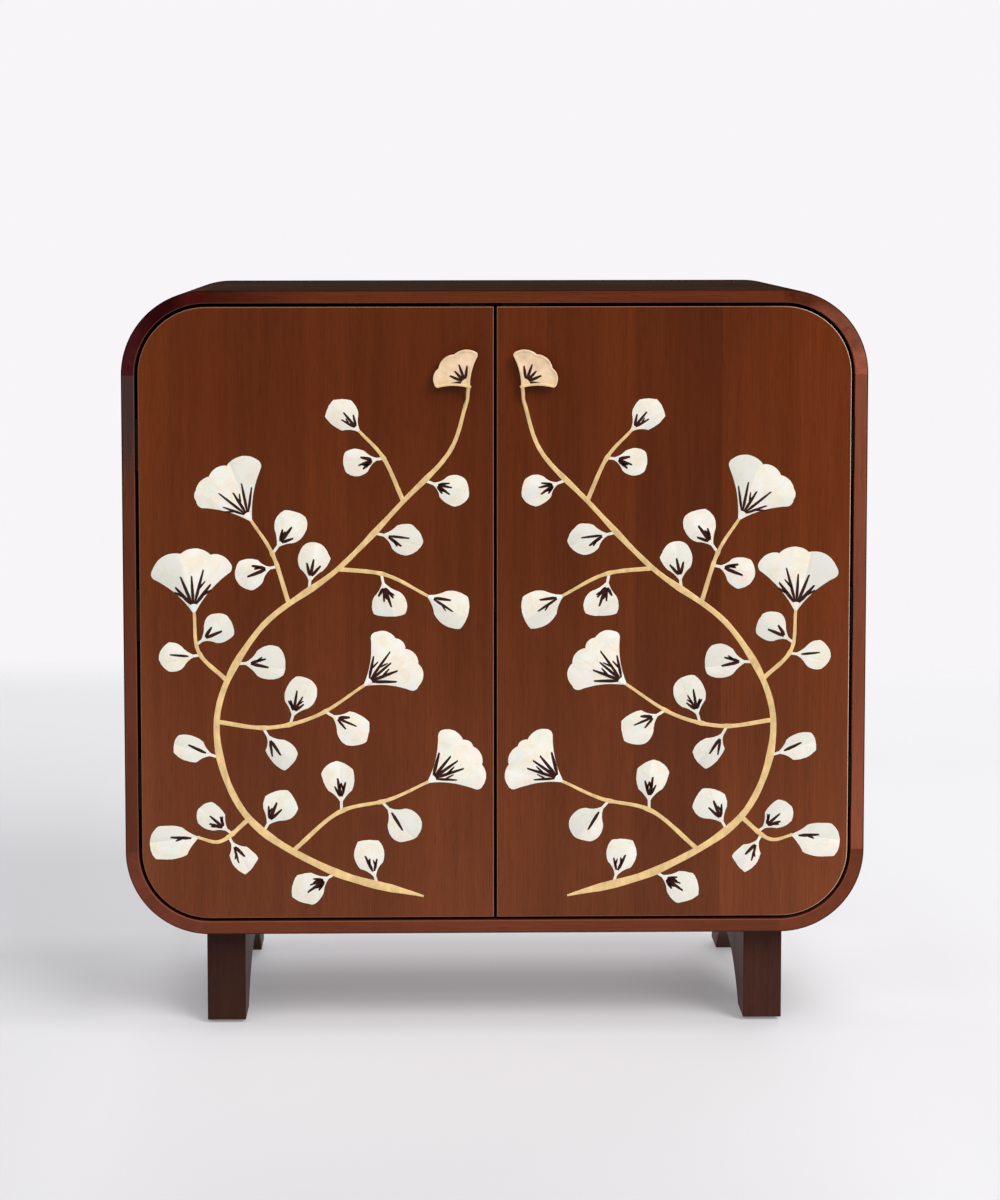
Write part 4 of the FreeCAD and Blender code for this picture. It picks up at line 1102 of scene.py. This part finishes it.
def pull_tail(leaf):
    """A tail from the plate's foot, which comes down on the vine's tip and sinks in along it."""
    end, run = along(stem_points("main"), 1.0)
    low = Vector((leaf.foot.x, FRONT, leaf.foot.z)).lerp(end, TAIL_LOW_SHARE)
    points = [leaf.at(TAIL_START) + NORTH * TAIL_START_DEPTH,
              leaf.foot + NORTH * TAIL_FOOT_DEPTH,
              low - NORTH * TAIL_LOW_RISE,
              end - NORTH * TAIL_TIP_RISE,
              end - run * TAIL_END + NORTH * TAIL_END_DEPTH]
    steps = range(TAIL_STEPS + 1)
    tail = bmesh.new()
    draw_tube(tail, [along(points, step / TAIL_STEPS)[0] for step in steps],
              [(TAIL_RADIUS_MM - TAIL_TAPER_MM * step / TAIL_STEPS) * MM for step in steps])
    return tail


def cast_pull():
    """A whole cast pull: its plate, its post and its tail."""
    leaf = pull_leaf()
    whole = bmesh.new()
    for make in (pull_plate, pull_post, pull_tail):
        join(whole, make(leaf))
    return whole


# Operators

class CABINET_OT_stage(bpy.types.Operator):
    """Make the floor, the lights, the world and the camera"""
    bl_idname = "cabinet.stage"
    bl_label = "Stage"

    def execute(self, context):
        bm = bmesh.new()
        bmesh.ops.create_grid(bm, x_segments=1, y_segments=1, size=FLOOR_HALF_SIZE)
        mesh = bpy.data.meshes.new("floor")
        bm.to_mesh(mesh)
        bm.free()
        floor = bpy.data.objects.new("floor", mesh)
        context.scene.collection.objects.link(floor)
        mesh.materials.append(self.floor_material())
        self.make_world(context.scene)
        for name, light in LIGHTS.items():
            self.make_light(name, *light)
        self.make_camera(context.scene)
        context.scene.view_settings.view_transform = "Standard"
        return {"FINISHED"}

    def floor_material(self):
        """Pale paper that fades into the pale wall behind the cabinet, with painted shadows, painted pools
        of light and a painted glow.
        """
        made, tree, shader = new_material("floor_paper")
        parts = coordinates(tree)
        furthest = calculate(tree, "MAXIMUM", *(calculate(tree, "ABSOLUTE", parts[axis]) for axis in "XY"))
        fade = spread(tree, furthest, *FLOOR_FADE, interpolation_type="SMOOTHERSTEP")
        paper = blend_colours(tree, noise(tree, (3, 3, 3), 2.0), *PAPER_TONES)
        glow = PAPER_GLOW
        # Painted shadows and pools of light, on the paper and on its painted glow.
        for ramps, factor in FLOOR_PAINTED_LIGHT:
            share = 1.0
            for axis, first, last in ramps:
                share = calculate(tree, "MULTIPLY", spread(tree, parts[axis], first, last), share)
            tone_ramp = spread(tree, share, 0.0, 1.0, 1.0, factor)
            paper = multiply(tree, paper, tone_ramp)
            glow = multiply(tree, glow, tone_ramp)
        connect(tree, shader, {
            "Base Color": paper,
            "Roughness": 0.75,
            "Specular IOR Level": 0.2,
            "Emission Color": glow,
            "Emission Strength": 1.0})
        clear = add(tree, "ShaderNodeBsdfTransparent")
        mixed = add(tree, "ShaderNodeMixShader", {
            0: fade, 1: shader.outputs["BSDF"], 2: clear.outputs["BSDF"]})
        connect(tree, tree.nodes["Material Output"], {"Surface": mixed.outputs["Shader"]})
        return made

    def make_world(self, scene):
        """A pale wall for the camera, and a dimmer room for the light."""
        world = bpy.data.worlds.new("studio")
        scene.world = world
        world.use_nodes = True
        tree = world.node_tree
        seen = tree.nodes["Background"]
        seen.inputs["Color"].default_value = WALL_COLOUR
        room = add(tree, "ShaderNodeBackground", {"Color": ROOM_COLOUR, "Strength": ROOM_STRENGTH})
        straight = add(tree, "ShaderNodeLightPath").outputs["Is Camera Ray"]
        mixed = add(tree, "ShaderNodeMixShader", {
            0: straight, 1: room.outputs["Background"], 2: seen.outputs["Background"]})
        connect(tree, tree.nodes["World Output"], {"Surface": mixed.outputs["Shader"]})

    def make_light(self, name, angles, strength, softness, colour):
        """A soft sun from a compass angle off the front, positive to the right, and a height."""
        lamp = bpy.data.lights.new(name, "SUN")
        lamp.energy = strength
        lamp.angle = math.radians(softness)
        lamp.color = colour
        light = bpy.data.objects.new(name, lamp)
        bpy.context.scene.collection.objects.link(light)
        compass, height = (math.radians(angle) for angle in angles)
        source = Vector((math.sin(compass) * math.cos(height), -math.cos(compass) * math.cos(height),
                         math.sin(height)))
        light.rotation_mode = "QUATERNION"
        light.rotation_quaternion = source.to_track_quat("Z", "Y")

    def make_camera(self, scene):
        lens = bpy.data.cameras.new("camera")
        lens.lens = LENS
        lens.shift_x, lens.shift_y = LENS_SHIFT
        camera = bpy.data.objects.new("camera", lens)
        scene.collection.objects.link(camera)
        camera.location = CAMERA_PLACE
        aside, down, roll = CAMERA_ANGLES
        turn = (Matrix.Rotation(math.radians(aside), 4, "Z")
                @ Matrix.Rotation(math.radians(90 - down), 4, "X")
                @ Matrix.Rotation(math.radians(roll), 4, "Z"))
        camera.rotation_euler = turn.to_euler()
        scene.camera = camera


class CABINET_OT_case(bpy.types.Operator):
    """Finish the band of boards and corner blocks, the back, the shelf and the dowels"""
    bl_idname = "cabinet.case"
    bl_label = "Case"

    def execute(self, context):
        band = colours().band
        # A board's colour, its grain's way, its figure's place, contrast, gloss and washes. The colours
        # and
        # washes paint light and shade: the left side is painted darker, and darker and greyer towards its
        # top as a dark reflection, as is the top board towards its left end; the right side and the top
        # right corner are painted lighter, as lit from the right. The top right corner's washes make it
        # darker at its top and lighter lower down.
        boards = {
            "top_board": (shade(band, 1.08), "X", (0.3, 0.1, 0.7), 0.9, 0.0,
                          [("X", -0.22, -0.35, (0.45, 0.32, 0.5))]),
            "bottom_board": (shade(band, 1.1), "X", (2.1, 0.4, 0.2), 0.9, 0.12, []),
            "left_side_board": (shade(band, 0.86), "Z", (4.2, 1.1, 0.9), 0.9, 0.12,
                                [("Z", 0.66, 0.74, (0.48, 0.94, 2.2))]),
            "right_side_board": (tint(band, 1.77, 2.1, 2.6), "Z", (5.7, 0.6, 0.3), 0.9, 0.12, []),
            "top_left_corner": (colours().corner, "Y", (1.3, 2.2, 0.5), 1.7, 0.0,
                                [("X", -0.375, -0.395, (0.45, 0.5, 0.6)),
                                 ("X", -0.415, -0.440, (2.1, 2.6, 3.2))]),
            "top_right_corner": (tint(band, 2.5, 3.2, 4.9), "Y", (8.3, 1.2, 2.5), 1.9, 0.0,
                                 [("Z", 0.885, 0.905, (0.45, 0.35, 0.25)),
                                  ("Z", 0.850, 0.838, (1.25, 1.2, 1.2))]),
            "bottom_left_corner": (tint(band, 1.1, 1.12, 1.5), "Y", (3.3, 4.2, 1.5), 1.6, 0.12, []),
            "bottom_right_corner": (shade(band, 1.1), "Y", (6.3, 0.2, 3.5), 1.3, 0.12, [])}
        for name, (colour, way, offset, contrast, gloss, stain_and_light_washes) in boards.items():
            wood = wood_material(f"{name}_wood", colour, way, 0.45, contrast, offset, gloss, stain_and_light_washes,
                                 on_band=True)
            wear(name, wood)
        wear("shelf", wood_material("shelf_wood", shade(band, 1.1), "X", 0.5, 0.8, (3.3, 0.8, 1.6)))
        wear("back_panel", wood_material("back_wood", shade(band, 1.1), "Z", 0.55, 0.9, (6.1, 1.9, 0.4)))
        wear("corner_dowels", wood_material("dowel_wood", (0.62, 0.43, 0.24), "X", 0.6, 0.7))
        return {"FINISHED"}


class CABINET_OT_legs(bpy.types.Operator):
    """Finish the leg frames and their glides"""
    bl_idname = "cabinet.legs"
    bl_label = "Legs"

    def execute(self, context):
        # Painted light: the right leg is painted lighter than the left, and each leg's inner face is
        # painted lighter, a painted highlight.
        for side, factor, offset in (("left", 0.8, (0.9, 2.7, 1.2)), ("right", 1.2, (5.9, 1.7, 0.2))):
            low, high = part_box(f"{side}_leg_frame")
            inner, away = (high.x, -MM) if side == "left" else (low.x, MM)
            stain_and_light_washes = [("X", inner + 0.6 * away, inner + 0.1 * away, (2.0, 2.3, 2.6))]
            dark = wood_material(f"{side}_leg_wood", shade(colours().leg, factor), "Z", 0.5, 1.1, offset,
                                 0.08, stain_and_light_washes)
            wear(f"{side}_leg_frame", dark)
        wear("foot_glides", moulded_material("glide_nylon", (0.84, 0.82, 0.79), 0.45))
        return {"FINISHED"}


class CABINET_OT_doors(bpy.types.Operator):
    """Finish the doors in stained veneer with an upright grain"""
    bl_idname = "cabinet.doors"
    bl_label = "Doors"

    def execute(self, context):
        pale = {"left": [("X", -0.390, -0.440, (1.15, 1.25, 1.5))], "right": []}
        for side, offset in (("left", (1.7, 0.2, 0.6)), ("right", (7.4, 0.9, 2.1))):
            seams = [("X", seam, seam + SEAM_WIDTH, (factor, factor, factor))
                     for seam, factor in SEAMS[side]]
            # Besides its seams and stain, the veneer gets painted light: deeper above and paler below, and
            # painted highlights on its front edges, with a paler painted glint far right on the right
            # door.
            veneer = wood_material(f"{side}_door_veneer", colours().door, "Z", 0.40, 0.85, offset,
                                   stain_and_light_washes=seams + DOOR_PAINTED_LIGHT + pale[side],
                                   edge_highlights=(EDGE_HIGHLIGHT, EDGE_GLINT))
            wear(f"{side}_door_panel", veneer)
        return {"FINISHED"}


class CABINET_OT_stems(bpy.types.Operator):
    """Make the brass stems of the vine on both doors"""
    bl_idname = "cabinet.stems"
    bl_label = "Stems"

    def execute(self, context):
        brass = metal_material("stem_brass", colours().stem, 0.35, 0.42, (150, 150, 30))
        on_both_doors("stems", brass_stems(), brass, ["stem_inlay"])
        return {"FINISHED"}


class CABINET_OT_leaves(bpy.types.Operator):
    """Make the pearl leaves of the vine on both doors, and the filler round them"""
    bl_idname = "cabinet.leaves"
    bl_label = "Leaves"

    def execute(self, context):
        pearl = pearl_material("pearl", colours().pearl)
        on_both_doors("leaves", pearl_leaves(), pearl, ["leaf_inlay"])
        on_both_doors("leaf_beds", leaf_beds(), None)
        return {"FINISHED"}


class CABINET_OT_veins(bpy.types.Operator):
    """Make the dark veins of the leaves and of the pulls"""
    bl_idname = "cabinet.veins"
    bl_label = "Veins"

    def execute(self, context):
        lac = moulded_material("vein_lac", colours().lac, 0.5, 900, 0.12)
        leaves = [(leaf, FAN_VEINS if leaf.kind == "fan" else DROP_VEINS[number % len(DROP_VEINS)])
                  for number, leaf in enumerate(all_leaves())]
        blades = vein_blades(leaves, sizes().leaf_rise + VEIN_PROUD)
        on_both_doors("veins", blades, lac, ["vein_inlay"])
        pull = [(pull_leaf(), PULL_VEINS)]
        rise = FRONT - PULL_LOW.y - PULL_HOLLOW + PULL_VEIN_PROUD
        blades = vein_blades(pull, rise, lowest_share=0.22, slimness=0.92, forked_share=0.25)
        on_both_doors("pull_veins", blades, lac)
        return {"FINISHED"}


class CABINET_OT_pulls(bpy.types.Operator):
    """Make the cast pulls"""
    bl_idname = "cabinet.pulls"
    bl_label = "Pulls"

    def execute(self, context):
        low, high = (pull_leaf().foot.z + step for step in PULL_FOOT_STEPS)
        foot = (low, high, colours().stem)
        cast = metal_material("pull_cast", colours().pull, 0.12, 0.36, (60, 60, 60), 0.4, foot)
        on_both_doors("pull", cast_pull(), cast, ["door_pull"])
        return {"FINISHED"}


class CABINET_OT_hardware(bpy.types.Operator):
    """Finish the hinges, catches, shelf pins, screws and washers"""
    bl_idname = "cabinet.hardware"
    bl_label = "Hardware"

    def execute(self, context):
        bronze = metal_material("hinge_bronze", (0.006, 0.004, 0.003), 0.1, 0.75, (400, 400, 60), 0.04)
        nickel = metal_material("nickel_plate", (0.66, 0.65, 0.62), 1.0, 0.30, (500, 500, 60))
        zinc = metal_material("zinc_plate", (0.58, 0.56, 0.50), 1.0, 0.38, (300, 300, 300))
        catch = moulded_material("catch_plastic", (0.020, 0.012, 0.009), 0.6)
        bronzed = ["hinge_case_flaps", "hinge_door_flaps", "hinge_pins", "hinge_case_screws",
                   "hinge_door_screws"]
        for side in ("left", "right"):
            for name in bronzed:
                wear(f"{side}_{name}", bronze)
            wear(f"{side}_strike_plate", nickel)
            wear(f"{side}_pull_washer", nickel)
            wear(f"{side}_pull_screw", zinc)
        wear("catch_magnets", nickel)
        wear("shelf_pins", nickel)
        wear("back_panel_screws", zinc)
        wear("leg_frame_screws", zinc)
        wear("catch_housings", catch)
        return {"FINISHED"}


OPERATORS = [CABINET_OT_stage, CABINET_OT_case, CABINET_OT_legs, CABINET_OT_doors, CABINET_OT_stems,
             CABINET_OT_leaves, CABINET_OT_veins, CABINET_OT_pulls, CABINET_OT_hardware]


class VIEW3D_PT_cabinet(bpy.types.Panel):
    """The cabinet's pieces, sizes and colours"""
    bl_label = "Inlay Cabinet"
    bl_space_type = "VIEW_3D"
    bl_region_type = "UI"
    bl_category = "Cabinet"

    def draw(self, context):
        for group in (context.scene.cabinet_sizes, context.scene.cabinet_colours):
            for name in group.bl_rna.properties.keys():
                if name not in ("rna_type", "name"):
                    self.layout.prop(group, name)
        for operator in OPERATORS:
            self.layout.operator(operator.bl_idname)


CLASSES = [CabinetSizes, CabinetColours, *OPERATORS, VIEW3D_PT_cabinet]


def register():
    for made in CLASSES:
        bpy.utils.register_class(made)
    bpy.types.Scene.cabinet_sizes = bpy.props.PointerProperty(type=CabinetSizes)
    bpy.types.Scene.cabinet_colours = bpy.props.PointerProperty(type=CabinetColours)


def unregister():
    del bpy.types.Scene.cabinet_colours
    del bpy.types.Scene.cabinet_sizes
    for made in reversed(CLASSES):
        bpy.utils.unregister_class(made)


def main():
    register()
    bpy.ops.cabinet.stage()
    bpy.ops.cabinet.case()
    bpy.ops.cabinet.legs()
    bpy.ops.cabinet.doors()
    bpy.ops.cabinet.stems()
    bpy.ops.cabinet.leaves()
    bpy.ops.cabinet.veins()
    bpy.ops.cabinet.pulls()
    bpy.ops.cabinet.hardware()
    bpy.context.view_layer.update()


if __name__ == "__main__":
    main()
